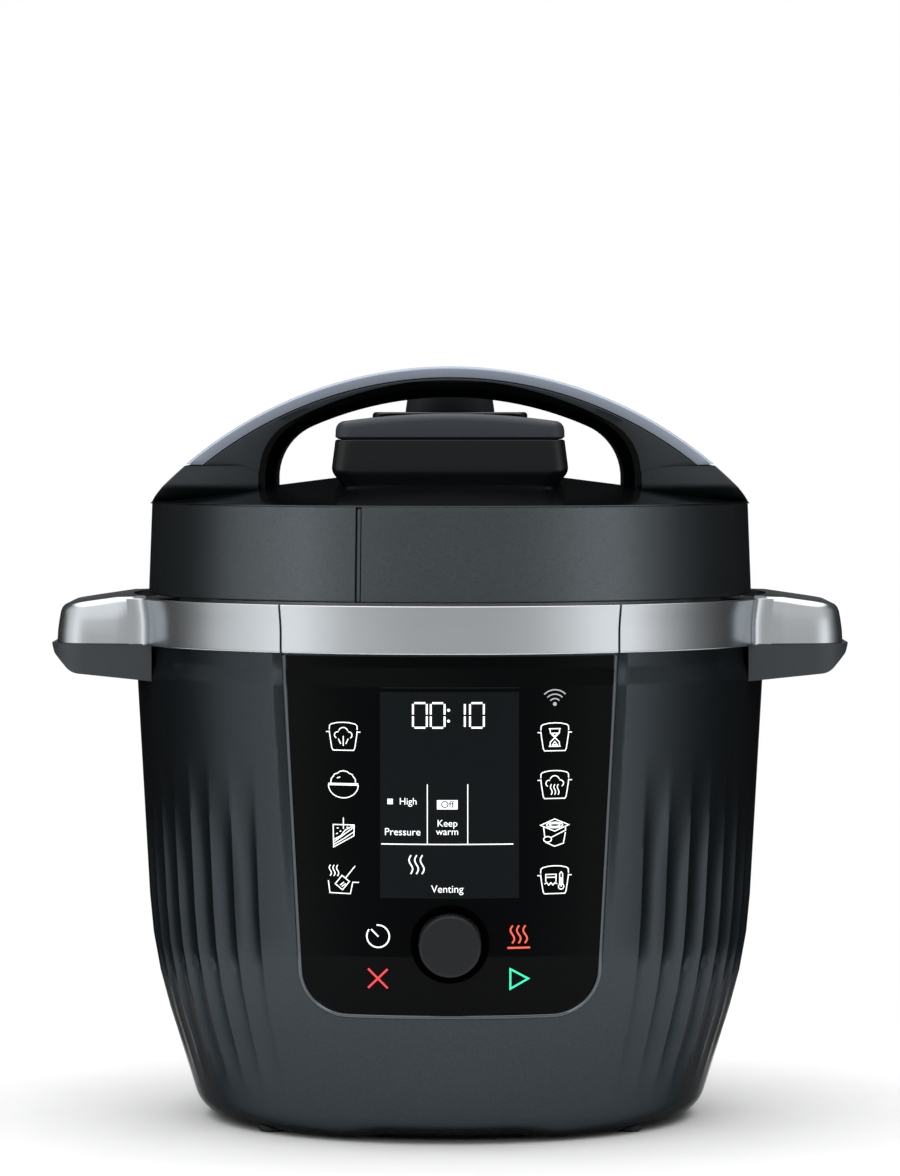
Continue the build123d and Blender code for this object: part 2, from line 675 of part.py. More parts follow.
export_step(bayonet_ring.part, "parts/bayonet_ring.step")

plate_top = POT_FLOOR - REST_GAP
plate_bottom = plate_top - PLATE_THICKNESS
with BuildPart() as heating_plate:
    extrude(disc(PLATE_RADIUS, plate_bottom), amount=PLATE_THICKNESS)
    chamfer(heating_plate.faces().sort_by(Axis.Z)[-1].edges(), PLATE_CHAMFER)
    extrude(disc(SENSOR_HOLE, plate_bottom), amount=PLATE_THICKNESS, mode=Mode.SUBTRACT)
    leg_places = [polar(PLATE_LEG_RING_R, angle) for angle in (90, 210, 330)]
    leg_foot = LINER_FLOOR + LINER_WALL
    extrude(disc(PLATE_LEG_R, leg_foot, leg_places), amount=plate_bottom - leg_foot)
heating_plate.part.label = "heating_plate"
export_step(heating_plate.part, "parts/heating_plate.step")

with BuildPart() as heating_element:
    coil_z = plate_bottom - COIL_TUBE
    with BuildSketch(Plane.XZ):
        with Locations((COIL_RADIUS, coil_z)):
            Circle(COIL_TUBE - 0.1)
    revolve(axis=Axis.Z)
heating_element.part.label = "heating_element"
export_step(heating_element.part, "parts/heating_element.step")

sensor_bottom = LINER_FLOOR - BRACKET_DROP
bracket_bottom = sensor_bottom - BRACKET_WALL
with BuildPart() as sensor_bracket:
    bracket_outline = [
        (SENSOR_CAP_R + 1.2, bracket_bottom),
        (SENSOR_HOLE + 12, bracket_bottom),
        (SENSOR_HOLE + 12, LINER_FLOOR),
        (SENSOR_HOLE + 8, LINER_FLOOR),
        (SENSOR_HOLE + 8, sensor_bottom),
        (SENSOR_CAP_R + 1.2, sensor_bottom),
    ]
    revolve(section(bracket_outline), axis=Axis.Z)
    # Cross bar that the spring stands on
    extrude(slab(SENSOR_CAP_R + 2, -4, 4, bracket_bottom), amount=BRACKET_WALL)
sensor_bracket.part.label = "sensor_bracket"
export_step(sensor_bracket.part, "parts/sensor_bracket.step")

with BuildPart() as temperature_sensor:
    sensor_outline = [
        (0, plate_top),
        (SENSOR_CAP_R, plate_top),
        (SENSOR_CAP_R, LINER_FLOOR + 4),
        (SENSOR_CAP_R - 1, LINER_FLOOR + 4),
        (SENSOR_CAP_R - 1, plate_top - 1),
        (0, plate_top - 1),
    ]
    revolve(section(sensor_outline, {1: 1.5}), axis=Axis.Z)
    extrude(disc(SENSOR_STEM_R, plate_top - SENSOR_STEM), amount=SENSOR_STEM - 0.5)
temperature_sensor.part.label = "temperature_sensor"
export_step(temperature_sensor.part, "parts/temperature_sensor.step")

with BuildPart() as sensor_spring:
    sensor_spring_height = plate_top - SENSOR_STEM - sensor_bottom
    add(coil_spring(0, 0, sensor_bottom, sensor_spring_height, 4, 0.5, 4))
sensor_spring.part.label = "sensor_spring"
export_step(sensor_spring.part, "parts/sensor_spring.step")

with BuildPart() as inner_pot:
    pot_inner = POT_RADIUS - POT_WALL
    pot_outline = [
        (0, POT_FLOOR),
        (POT_RADIUS, POT_FLOOR),
        (POT_RADIUS, POT_TOP - POT_RIM_THICKNESS),
        (POT_RIM_RADIUS, POT_TOP - POT_RIM_THICKNESS),
        (POT_RIM_RADIUS, POT_TOP),
        (pot_inner, POT_TOP),
        (pot_inner, POT_FLOOR + 2 * POT_WALL),
        (0, POT_FLOOR + 2 * POT_WALL),
    ]
    revolve(section(pot_outline, {1: POT_CORNER, 6: POT_CORNER - POT_WALL}), axis=Axis.Z)
inner_pot.part.label = "inner_pot"
export_step(inner_pot.part, "parts/inner_pot.step")

# ---------------------------------------------------------------- boards and controls
with BuildPart() as power_board:
    board_plan = slab(POWER_BOARD_HALF_X, -POWER_BOARD_HALF_Y, POWER_BOARD_HALF_Y, POWER_BOARD_Z)
    extrude(board_plan, amount=BOARD_THICKNESS)
    top = POWER_BOARD_Z + BOARD_THICKNESS
    # Relays, a transformer and capacitors stand clear of the sensor in the middle
    with BuildSketch(Plane.XY.offset(top)):
        with Locations((-44, 16), (-44, -6)):
            Rectangle(18, 15)
        with Locations((44, 8)):
            Rectangle(20, 24)
    extrude(amount=8.5)
    extrude(disc(4, top, [(42, -16), (52, -16), (-44, -24)]), amount=9)
power_board.part.label = "power_board"
export_step(power_board.part, "parts/power_board.step")

with BuildPart() as control_board:
    with BuildSketch(Plane.XZ.offset(CONTROL_BOARD_Y)):
        with Locations((0, (DISPLAY_TOP + DIAL_Z - 12) / 2)):
            Rectangle(2 * CONTROL_BOARD_HALF, DISPLAY_TOP - DIAL_Z + 12)
    extrude(amount=CONTROL_BOARD_THICKNESS)
control_board.part.label = "control_board"
export_step(control_board.part, "parts/control_board.step")

board_front = CONTROL_BOARD_Y + CONTROL_BOARD_THICKNESS
with BuildPart() as display_module:
    with BuildSketch(Plane.XZ.offset(board_front)):
        with Locations((0, (DISPLAY_TOP + DISPLAY_BOTTOM) / 2 + 5)):
            Rectangle(2 * DISPLAY_HALF - 4, DISPLAY_TOP - DISPLAY_BOTTOM - 18)
    extrude(amount=DISPLAY_DEPTH)
display_module.part.label = "display_module"
export_step(display_module.part, "parts/display_module.step")

with BuildPart() as control_glass:
    revolve(wall_band(GLASS_BACK, GLASS_FRONT, skin_bottom_z, PANEL_TOP + 2), axis=Axis.Z)
    extrude(panel_outline(0), amount=front, mode=Mode.INTERSECT)
    with BuildSketch(Plane.XZ):
        with Locations((0, DIAL_Z)):
            Circle(DIAL_R + DIAL_GAP - 0.1)
    extrude(amount=front, mode=Mode.SUBTRACT)
control_glass.part.label = "control_glass"
export_step(control_glass.part, "parts/control_glass.step")

with BuildPart() as panel_bezel:
    revolve(wall_band(GLASS_BACK, BEZEL_FRONT, skin_bottom_z, PANEL_TOP + 2), axis=Axis.Z)
    extrude(panel_outline(BEZEL_GAP + BEZEL_WIDTH), amount=front, mode=Mode.INTERSECT)
    extrude(panel_outline(BEZEL_GAP), amount=front, mode=Mode.SUBTRACT)
panel_bezel.part.label = "panel_bezel"
export_step(panel_bezel.part, "parts/panel_bezel.step")

dial_plane = Plane(origin=(0, 0, DIAL_Z), x_dir=(1, 0, 0), z_dir=(0, -1, 0))
glass_at_dial = wall_radius(DIAL_Z) + GLASS_FRONT
with BuildPart() as dial_ring:
    with BuildSketch(dial_plane.offset(glass_at_dial - 2)):
        Circle(DIAL_RING_R)
        Circle(DIAL_R + DIAL_GAP, mode=Mode.SUBTRACT)
    extrude(amount=2 + DIAL_RING_DEPTH)
    ring_rim = dial_ring.edges().filter_by(GeomType.CIRCLE).sort_by(Axis.Y)[:2]
    fillet(ring_rim.sort_by(SortBy.RADIUS)[-1], 1.6)
    with BuildPart(mode=Mode.PRIVATE) as glass_room:
        room_face = GLASS_FRONT + 0.05
        revolve(wall_band(-KNEE_MARGIN, room_face, skin_bottom_z, DISPLAY_TOP), axis=Axis.Z)
    add(glass_room.part, mode=Mode.SUBTRACT)
dial_ring.part.label = "dial_ring"
export_step(dial_ring.part, "parts/dial_ring.step")

with BuildPart() as encoder_body:
    with BuildSketch(dial_plane.offset(board_front)):
        Rectangle(2 * ENCODER_HALF, 2 * ENCODER_HALF)
        Circle(SHAFT_R + SHAFT_CLEARANCE, mode=Mode.SUBTRACT)
    extrude(amount=ENCODER_DEPTH)
encoder_body.part.label = "encoder_body"
export_step(encoder_body.part, "parts/encoder_body.step")

with BuildPart() as encoder_shaft:
    shaft_back = board_front + DIAL_PUSH + REST_GAP
    with BuildSketch(dial_plane.offset(shaft_back)):
        Circle(SHAFT_R)
    extrude(amount=DIAL_FRONT - DIAL_FACE - shaft_back)
encoder_shaft.part.label = "encoder_shaft"
export_step(encoder_shaft.part, "parts/encoder_shaft.step")

with BuildPart() as dial_knob:
    with BuildSketch(dial_plane.offset(DIAL_BACK)):
        Circle(DIAL_R)
    extrude(amount=DIAL_FRONT - DIAL_BACK)
    fillet(dial_knob.edges().filter_by(GeomType.CIRCLE).sort_by(Axis.Y)[0], 1.4)
    with BuildSketch(dial_plane.offset(DIAL_BACK)):
        Circle(SHAFT_R + SHAFT_CLEARANCE)
    extrude(amount=DIAL_FRONT - DIAL_FACE + 0.1 - DIAL_BACK, mode=Mode.SUBTRACT)
    # Fine grip ribs around the skirt
    with BuildSketch(dial_plane.offset(DIAL_BACK)):
        with PolarLocations(DIAL_R + 0.25, DIAL_RIBS):
            Circle(0.5)
    extrude(amount=DIAL_FRONT - DIAL_BACK - 2.5, mode=Mode.SUBTRACT)
dial_knob.part.label = "dial_knob"
export_step(dial_knob.part, "parts/dial_knob.step")

# ---------------------------------------------------------------- rear of the body
inlet_plane = Plane(origin=(0, INLET_FACE_Y, INLET_Z), x_dir=(-1, 0, 0), z_dir=(0, 1, 0))
with BuildPart() as power_inlet:
    with BuildSketch(inlet_plane):
        Rectangle(2 * INLET_HALF_WIDTH, 2 * INLET_HALF_HEIGHT)
    extrude(amount=-INLET_DEPTH)
    with BuildSketch(inlet_plane):
        RectangleRounded(2 * SOCKET_HALF_WIDTH, 2 * SOCKET_HALF_HEIGHT, SOCKET_CORNER)
    extrude(amount=-SOCKET_DEPTH, mode=Mode.SUBTRACT)
power_inlet.part.label = "power_inlet"
export_step(power_inlet.part, "parts/power_inlet.step")

with BuildPart() as inlet_pins:
    with BuildSketch(inlet_plane.offset(-SOCKET_DEPTH)):
        low, high = -PIN_OFFSET_Z / 2, PIN_OFFSET_Z / 2
        with Locations((-PIN_SPACING, low), (PIN_SPACING, low), (0, high)):
            Rectangle(PIN_WIDTH, PIN_HEIGHT)
    extrude(amount=SOCKET_DEPTH - 1)
inlet_pins.part.label = "inlet_pins"
export_step(inlet_pins.part, "parts/inlet_pins.step")

wing_half = CUP_HALF_WIDTH + WING_WIDTH
with BuildPart() as condensation_cup:
    cup_height = CUP_TOP - CUP_BOTTOM
    extrude(slab(CUP_HALF_WIDTH, INSIDE_WALL, CUP_REACH, CUP_BOTTOM), amount=cup_height)
    outer_edges = condensation_cup.edges().filter_by(Axis.Z).sort_by(Axis.Y)[-2:]
    fillet(outer_edges, CUP_CORNER)
    extrude(slab(wing_half, INSIDE_WALL, CUP_REACH - CUP_CORNER, WING_Z), amount=WING_THICKNESS)
    revolve(body_section(CUP_GAP), axis=Axis.Z, mode=Mode.SUBTRACT)
    with BuildPart(mode=Mode.PRIVATE) as cup_hollow:
        cup_floor = CUP_BOTTOM + CUP_WALL
        hollow_plan = slab(CUP_HALF_WIDTH - CUP_WALL, INSIDE_WALL, CUP_REACH - CUP_WALL, cup_floor)
        extrude(hollow_plan, amount=cup_height)
        hollow_edges = cup_hollow.edges().filter_by(Axis.Z).sort_by(Axis.Y)[-2:]
        fillet(hollow_edges, CUP_CORNER - CUP_WALL)
        revolve(body_section(CUP_GAP + CUP_WALL), axis=Axis.Z, mode=Mode.SUBTRACT)
    add(cup_hollow.part, mode=Mode.SUBTRACT)
condensation_cup.part.label = "condensation_cup"
export_step(condensation_cup.part, "parts/condensation_cup.step")

with BuildPart() as cup_rails:
    rail_x = CUP_HALF_WIDTH + CUP_GAP + RAIL_WIDTH / 2
    rail_y = (INSIDE_WALL + RAIL_REACH) / 2
    with BuildSketch(Plane.XY.offset(WING_Z - RAIL_CLEARANCE - RAIL_HEIGHT)):
        with Locations((-rail_x, rail_y), (rail_x, rail_y)):
            Rectangle(RAIL_WIDTH, RAIL_REACH - INSIDE_WALL)
    extrude(amount=RAIL_HEIGHT)
    revolve(body_section(0), axis=Axis.Z, mode=Mode.SUBTRACT)
cup_rails.part.label = "cup_rails"
export_step(cup_rails.part, "parts/cup_rails.step")

# ---------------------------------------------------------------- lid
dome_edge_r = LID_RIM_R - LID_EDGE
dome_points = [
    (LID_RIM_R, LID_RIM_Z - LID_EDGE),
    (dome_edge_r, LID_RIM_Z),
    (CROWN_R, CROWN_Z),
    (0, LID_APEX_Z),
    (0, LID_BOTTOM),
    (LID_RIM_R, LID_BOTTOM),
]
dome_face = section(dome_points, {2: DOME_BLEND})


def waisted_plan(z_low):
    """Plan of the lid handle: narrow in the middle, wide at the rim."""
    with BuildSketch(Plane.XY.offset(z_low)) as plan:
        with BuildLine():
            end, root = HANDLE_SPAN, HANDLE_ROOT
            ThreePointArc((-end, -root), (0, -HANDLE_WAIST), (end, -root))
            Line((end, -root), (end, root))
            ThreePointArc((end, root), (0, HANDLE_WAIST), (-end, root))
            Line((-end, root), (-end, -root))
        make_face()
    return plan.sketch


def arch_face(radius):
    """Front view of everything under the handle's outer arc."""
    with BuildSketch(Plane.XZ) as face:
        with Locations((0, ARC_Z)):
            Circle(radius)
    return face.sketch


def hand_window():
    """Front view of the opening under the handle."""
    with BuildSketch(Plane.XZ) as face:
        with Locations((0, WINDOW_ARC_Z)):
            Circle(WINDOW_ARC_R)
        with Locations((0, LID_RIM_Z)):
            Rectangle(2 * WINDOW_HALF_WIDTH, 200, mode=Mode.INTERSECT)
        fillet(face.vertices().group_by(Axis.Y)[-1], WINDOW_CORNER)
    return face.sketch


boss_places = [polar(BOSS_RING_R, angle) for angle in BOSS_ANGLES]
lid_pipe_hole = PIPE_R + 0.2
float_hole = FLOAT_R + FLOAT_CLEARANCE
with BuildPart() as lid_cover:
    revolve(dome_face, axis=Axis.Z)
    # Band, slightly wider at its foot, then the hollow inside
    band = [
        (0, LID_BOTTOM),
        (LID_BASE_R, LID_BOTTOM),
        (LID_RIM_R, LID_RIM_Z - LID_EDGE),
        (0, LID_RIM_Z - LID_EDGE),
    ]
    revolve(section(band), axis=Axis.Z)
    hollow = [
        (0, LID_BOTTOM - 1),
        (LID_FLOOR_IN, LID_BOTTOM - 1),
        (LID_FLOOR_IN, LID_BOTTOM + LID_FLOOR),
        (LID_BASE_R - LID_WALL, LID_BOTTOM + LID_FLOOR),
        (LID_RIM_R - LID_WALL, LID_RIM_Z - LID_WALL),
        (CROWN_R, CROWN_Z - LID_WALL),
        (0, LID_APEX_Z - LID_WALL),
    ]
    revolve(section(hollow), axis=Axis.Z, mode=Mode.SUBTRACT)
    boss_bottom = LID_PLATE_Z + LID_LINER_WALL
    extrude(disc(BOSS_R, boss_bottom, boss_places), amount=LID_RIM_Z + 3 - boss_bottom)
    extrude(disc(SCREW_R, boss_bottom, boss_places), amount=LID_SCREW_LENGTH, mode=Mode.SUBTRACT)
    extrude(disc(lid_pipe_hole, LID_BOTTOM, [(0, STEAM_Y)]), amount=60, mode=Mode.SUBTRACT)
    extrude(disc(float_hole, LID_BOTTOM, [(FLOAT_X, FLOAT_Y)]), amount=60, mode=Mode.SUBTRACT)
lid_cover.part.label = "lid_cover"
export_step(lid_cover.part, "parts/lid_cover.step")

# Roots of the handle, one at each end, that sit on the dome
for root_name, side in (("left", -1), ("right", 1)):
    with BuildPart() as handle_root:
        extrude(arch_face(ARC_R), amount=HANDLE_ROOT, both=True)
        root_height = HANDLE_SEAM_Z - LID_RIM_Z
        extrude(waisted_plan(LID_RIM_Z), amount=root_height, mode=Mode.INTERSECT)
        extrude(disc(dome_edge_r, LID_RIM_Z), amount=root_height, mode=Mode.INTERSECT)
        extrude(hand_window(), amount=60, both=True, mode=Mode.SUBTRACT)
        revolve(dome_face, axis=Axis.Z, mode=Mode.SUBTRACT)
        split(bisect_by=Plane.YZ, keep=Keep.TOP if side > 0 else Keep.BOTTOM)
    handle_root.part.label = f"handle_root_{root_name}"
    export_step(handle_root.part, f"parts/handle_root_{root_name}.step")

with BuildPart() as lid_handle:
    extrude(arch_face(ARC_R), amount=HANDLE_ROOT, both=True)
    extrude(waisted_plan(HANDLE_SEAM_Z), amount=60, mode=Mode.INTERSECT)
    extrude(hand_window(), amount=60, both=True, mode=Mode.SUBTRACT)
    with BuildPart(mode=Mode.PRIVATE) as cap_room:
        extrude(arch_face(ARC_R + 2), amount=60, both=True)
        extrude(arch_face(ARC_R - CAP_THICKNESS - CAP_GAP), amount=60, both=True, mode=Mode.SUBTRACT)
        extrude(slab(front, -60, 60, 0), amount=HANDLE_SEAM_Z + 1, mode=Mode.SUBTRACT)
    add(cap_room.part, mode=Mode.SUBTRACT)
lid_handle.part.label = "lid_handle"
export_step(lid_handle.part, "parts/lid_handle.step")

with BuildPart() as handle_cap:
    extrude(arch_face(ARC_R), amount=HANDLE_ROOT, both=True)
    extrude(waisted_plan(HANDLE_SEAM_Z + CAP_FOOT), amount=60, mode=Mode.INTERSECT)
    extrude(arch_face(ARC_R - CAP_THICKNESS), amount=60, both=True, mode=Mode.SUBTRACT)
handle_cap.part.label = "handle_cap"
export_step(handle_cap.part, "parts/handle_cap.step")

tab_outer = LUG_INNER - TAB_CLEARANCE
with BuildPart() as lid_liner:
    liner_inner = LID_LINER_R - LID_LINER_WALL
    flange_top = LID_BOTTOM + LID_FLOOR + LID_LINER_WALL
    liner_section = [
        (0, LID_PLATE_Z),
        (liner_inner, LID_PLATE_Z),
        (liner_inner, LID_SKIRT_BOTTOM),
        (LID_LINER_R, LID_SKIRT_BOTTOM),
        (LID_LINER_R, LID_BOTTOM + LID_FLOOR),
        (LID_LINER_R + LID_FLANGE_WIDTH, LID_BOTTOM + LID_FLOOR),
        (LID_LINER_R + LID_FLANGE_WIDTH, flange_top),
        (liner_inner, flange_top),
        (liner_inner, LID_PLATE_Z + LID_LINER_WALL),
        (0, LID_PLATE_Z + LID_LINER_WALL),
    ]
    revolve(section(liner_section), axis=Axis.Z)
    for tab in range(LUG_COUNT):
        tab_start = tab * 360 / LUG_COUNT - LUG_ARC / 2
        extrude(
            sector(LID_LINER_R - 0.4, tab_outer, LID_SKIRT_BOTTOM + 1, tab_start, LUG_ARC),
            amount=TAB_THICKNESS,
        )
    liner_holes = disc(SCREW_R + HOLE_CLEARANCE, LID_PLATE_Z, boss_places)
    extrude(liner_holes, amount=3, mode=Mode.SUBTRACT)
    extrude(disc(lid_pipe_hole, LID_PLATE_Z, [(0, STEAM_Y)]), amount=3, mode=Mode.SUBTRACT)
    extrude(disc(float_hole, LID_PLATE_Z, [(FLOAT_X, FLOAT_Y)]), amount=3, mode=Mode.SUBTRACT)
lid_liner.part.label = "lid_liner"
export_step(lid_liner.part, "parts/lid_liner.step")

with BuildPart() as lid_screws:
    extrude(disc(SCREW_R, LID_PLATE_Z - 0.4, boss_places), amount=LID_SCREW_LENGTH)
    extrude(disc(SCREW_HEAD_R, LID_PLATE_Z - 1.8, boss_places), amount=1.8)
lid_screws.part.label = "lid_screws"
export_step(lid_screws.part, "parts/lid_screws.step")

with BuildPart() as sealing_ring:
    seal_inner = SEAL_R - SEAL_WIDTH
    seal_bottom = POT_TOP + REST_GAP
    seal_top = LID_PLATE_Z - REST_GAP
    seal_section = [
        (seal_inner, seal_bottom + 1.5),
        (seal_inner + 2.6, seal_bottom),
        (SEAL_R, seal_bottom),
        (SEAL_R, seal_top),
        (seal_inner, seal_top),
        (seal_inner, seal_top - 2.2),
        (SEAL_R - SEAL_LIP, seal_top - 3.2),
        (SEAL_R - SEAL_LIP, seal_bottom + 2.4),
    ]
    revolve(section(seal_section), axis=Axis.Z)
sealing_ring.part.label = "sealing_ring"
export_step(sealing_ring.part, "parts/sealing_ring.step")

with BuildPart() as seal_rack:
    with BuildSketch(Plane.XZ):
        with Locations((RACK_R, LID_PLATE_Z - RACK_DROP)):
            Circle(RACK_TUBE)
    revolve(axis=Axis.Z)
    rack_posts = [polar(RACK_R, 360 * post / 6) for post in range(6)]
    extrude(disc(0.8, LID_PLATE_Z - RACK_DROP, rack_posts), amount=RACK_DROP)
seal_rack.part.label = "seal_rack"
export_step(seal_rack.part, "parts/seal_rack.step")

with BuildPart() as anti_block_shield:
    shield_top = LID_PLATE_Z - 0.2
    shield_section = [
        (SHIELD_WALL_IN, shield_top - SHIELD_HEIGHT),
        (SHIELD_R, shield_top - SHIELD_HEIGHT),
        (SHIELD_R, shield_top),
        (0, shield_top),
        (0, shield_top - 1),
        (SHIELD_WALL_IN, shield_top - 1),
    ]
    shield_plane = Plane(origin=(0, STEAM_Y, 0), x_dir=(1, 0, 0), z_dir=(0, -1, 0))
    revolve(section(shield_section, plane=shield_plane), axis=Axis((0, STEAM_Y, 0), (0, 0, 1)))
    vent_angles = [360 * vent / SHIELD_VENTS for vent in range(SHIELD_VENTS)]
    vent_places = [(x, y + STEAM_Y) for x, y in [polar(PIPE_R + 2, angle) for angle in vent_angles]]
    extrude(disc(1.2, shield_top - 3, vent_places), amount=4, mode=Mode.SUBTRACT)
anti_block_shield.part.label = "anti_block_shield"
export_step(anti_block_shield.part, "parts/anti_block_shield.step")

with BuildPart() as steam_pipe:
    extrude(disc(PIPE_R, LID_PLATE_Z, [(0, STEAM_Y)]), amount=PIPE_TOP - LID_PLATE_Z)
    extrude(disc(PIPE_FLANGE_R, LID_PLATE_Z + LID_LINER_WALL, [(0, STEAM_Y)]), amount=3)
    extrude(disc(PIPE_BORE, LID_PLATE_Z, [(0, STEAM_Y)]), amount=PIPE_TOP, mode=Mode.SUBTRACT)
steam_pipe.part.label = "steam_pipe"
export_step(steam_pipe.part, "parts/steam_pipe.step")

with BuildPart() as steam_valve:
    extrude(disc(VALVE_R, VALVE_BOTTOM, [(0, STEAM_Y)]), amount=VALVE_TOP - VALVE_BOTTOM)
    fillet(steam_valve.faces().sort_by(Axis.Z)[-1].edges(), 2)
    bore_height = PIPE_TOP + 0.4 - VALVE_BOTTOM
    extrude(disc(PIPE_R + 0.5, VALVE_BOTTOM, [(0, STEAM_Y)]), amount=bore_height, mode=Mode.SUBTRACT)
steam_valve.part.label = "steam_valve"
export_step(steam_valve.part, "parts/steam_valve.step")

housing_foot = HOUSING_HALF_WIDTH - HOUSING_FOOT_INSET
housing_front_points = [
    (-housing_foot, LID_RIM_Z),
    (housing_foot, LID_RIM_Z),
    (housing_foot, HOUSING_SEAM_Z - 19),
    (HOUSING_HALF_WIDTH, HOUSING_SEAM_Z - 13),
    (HOUSING_TOP_HALF_WIDTH, HOUSING_SEAM_Z),
    (-HOUSING_TOP_HALF_WIDTH, HOUSING_SEAM_Z),
    (-HOUSING_HALF_WIDTH, HOUSING_SEAM_Z - 13),
    (-housing_foot, HOUSING_SEAM_Z - 19),
]
housing_depth = HOUSING_FRONT - HOUSING_BACK
housing_plane = Plane.XZ.offset(HOUSING_BACK)


def housing_plan(x_half, inset, z_low, corner):
    """Plan of the steam housing, inset from its front and back."""
    return rounded_slab(x_half, inset - HOUSING_FRONT, -HOUSING_BACK - inset, z_low, corner)


hollow_half = HOUSING_TOP_HALF_WIDTH - HOUSING_WALL
with BuildPart() as steam_housing:
    extrude(section(housing_front_points, plane=housing_plane), amount=housing_depth)
    plan = housing_plan(HOUSING_HALF_WIDTH, 0, LID_RIM_Z, HOUSING_CORNER)
    extrude(plan, amount=60, mode=Mode.INTERSECT)
    revolve(dome_face, axis=Axis.Z, mode=Mode.SUBTRACT)
    hollow_plan = housing_plan(hollow_half, HOUSING_WALL, HOUSING_FLOOR_Z, HOUSING_CORNER - 2)
    extrude(hollow_plan, amount=20, mode=Mode.SUBTRACT)
    extrude(disc(lid_pipe_hole, LID_RIM_Z, [(0, STEAM_Y)]), amount=20, mode=Mode.SUBTRACT)
    # Drain notch in the middle of the front edge
    with BuildSketch(Plane.XZ.offset(HOUSING_FRONT - 1)):
        with Locations((0, HOUSING_SEAM_Z)):
            Rectangle(DRAIN_WIDTH, DRAIN_HEIGHT)
    extrude(amount=2, mode=Mode.SUBTRACT)
steam_housing.part.label = "steam_housing"
export_step(steam_housing.part, "parts/steam_housing.step")

with BuildPart() as steam_cap:
    cap_bottom = HOUSING_SEAM_Z + CAP_SEAM
    with BuildSketch(housing_plane):
        with BuildLine():
            Line((-HOUSING_TOP_HALF_WIDTH, cap_bottom), (HOUSING_TOP_HALF_WIDTH, cap_bottom))
            Line((HOUSING_TOP_HALF_WIDTH, cap_bottom), (HOUSING_TOP_HALF_WIDTH, CAP_EDGE_Z))
            ThreePointArc(
                (HOUSING_TOP_HALF_WIDTH, CAP_EDGE_Z),
                (0, CAP_CROWN_Z),
                (-HOUSING_TOP_HALF_WIDTH, CAP_EDGE_Z),
            )
            Line((-HOUSING_TOP_HALF_WIDTH, CAP_EDGE_Z), (-HOUSING_TOP_HALF_WIDTH, cap_bottom))
        make_face()
    extrude(amount=housing_depth)
    plan = housing_plan(HOUSING_TOP_HALF_WIDTH, 0, cap_bottom, HOUSING_CORNER)
    extrude(plan, amount=60, mode=Mode.INTERSECT)
    hollow_plan = housing_plan(hollow_half, HOUSING_WALL, cap_bottom, HOUSING_CORNER - 2)
    extrude(hollow_plan, amount=CAP_EDGE_Z - cap_bottom - 0.4, mode=Mode.SUBTRACT)
    valve_room = disc(VALVE_R + 2, cap_bottom, [(0, STEAM_Y)])
    extrude(valve_room, amount=CAP_CROWN_Z - 2 - cap_bottom, mode=Mode.SUBTRACT)
    # Steam slots along the back of the roof
    with BuildSketch(Plane.XY.offset(cap_bottom)):
        with Locations((0, -HOUSING_BACK - 9)):
            with GridLocations(STEAM_SLOT_PITCH, 1, STEAM_SLOTS, 1):
                SlotOverall(10, 2.4, rotation=90)
    extrude(amount=60, mode=Mode.SUBTRACT)
steam_cap.part.label = "steam_cap"
export_step(steam_cap.part, "parts/steam_cap.step")

with BuildPart() as release_housing:
    plan = rounded_slab(
        PLATFORM_HALF_WIDTH, PLATFORM_FRONT, PLATFORM_BACK, LID_RIM_Z, PLATFORM_CORNER
    )
    extrude(plan, amount=PLATFORM_TOP - LID_RIM_Z)
    fillet(release_housing.faces().sort_by(Axis.Z)[-1].edges(), 1.5)
    revolve(dome_face, axis=Axis.Z, mode=Mode.SUBTRACT)
    extrude(
        disc(BUTTON_BASE_R + BUTTON_CLEARANCE, WELL_FLOOR, [(0, BUTTON_Y)]),
        amount=20,
        mode=Mode.SUBTRACT,
    )
release_housing.part.label = "release_housing"
export_step(release_housing.part, "parts/release_housing.step")

button_plane = Plane(origin=(0, BUTTON_Y, 0), x_dir=(1, 0, 0), z_dir=(0, -1, 0))
with BuildPart() as release_button:
    button_section = [
        (0, BUTTON_TOP),
        (BUTTON_TOP_R, BUTTON_TOP),
        (BUTTON_BASE_R, PLATFORM_TOP + 0.6),
        (BUTTON_BASE_R, BUTTON_SKIRT_Z),
        (BUTTON_BASE_R - BUTTON_WALL, BUTTON_SKIRT_Z),
        (BUTTON_TOP_R - BUTTON_WALL, BUTTON_TOP - BUTTON_WALL),
        (0, BUTTON_TOP - BUTTON_WALL),
    ]
    revolve(
        section(button_section, {1: 2.0}, button_plane), axis=Axis((0, BUTTON_Y, 0), (0, 0, 1))
    )
release_button.part.label = "release_button"
export_step(release_button.part, "parts/release_button.step")

with BuildPart() as release_spring:
    spring_height = BUTTON_TOP - BUTTON_WALL - WELL_FLOOR
    add(coil_spring(0, BUTTON_Y, WELL_FLOOR, spring_height, SPRING_R, SPRING_WIRE, SPRING_TURNS))
release_spring.part.label = "release_spring"
export_step(release_spring.part, "parts/release_spring.step")

with BuildPart() as float_valve:
    pin_bottom = LID_PLATE_Z - 6
    dome_there = LID_RIM_Z + DOME_SLOPE * (LID_RIM_R - math.hypot(FLOAT_X, FLOAT_Y))
    pin_top = dome_there - 0.6
    extrude(disc(FLOAT_R, pin_bottom, [(FLOAT_X, FLOAT_Y)]), amount=pin_top - pin_bottom)
    extrude(disc(FLOAT_HEAD_R, pin_bottom - 0.5, [(FLOAT_X, FLOAT_Y)]), amount=2)
float_valve.part.label = "float_valve"
export_step(float_valve.part, "parts/float_valve.step")
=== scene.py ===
"""Electric pressure cooker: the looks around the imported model.

Shapes are worked out in millimetres and turned into metres when a piece is made. Angles in plan
are measured from the front (-Y), positive to the right.
"""
import math

import bmesh
import bpy
from mathutils import Matrix, Vector


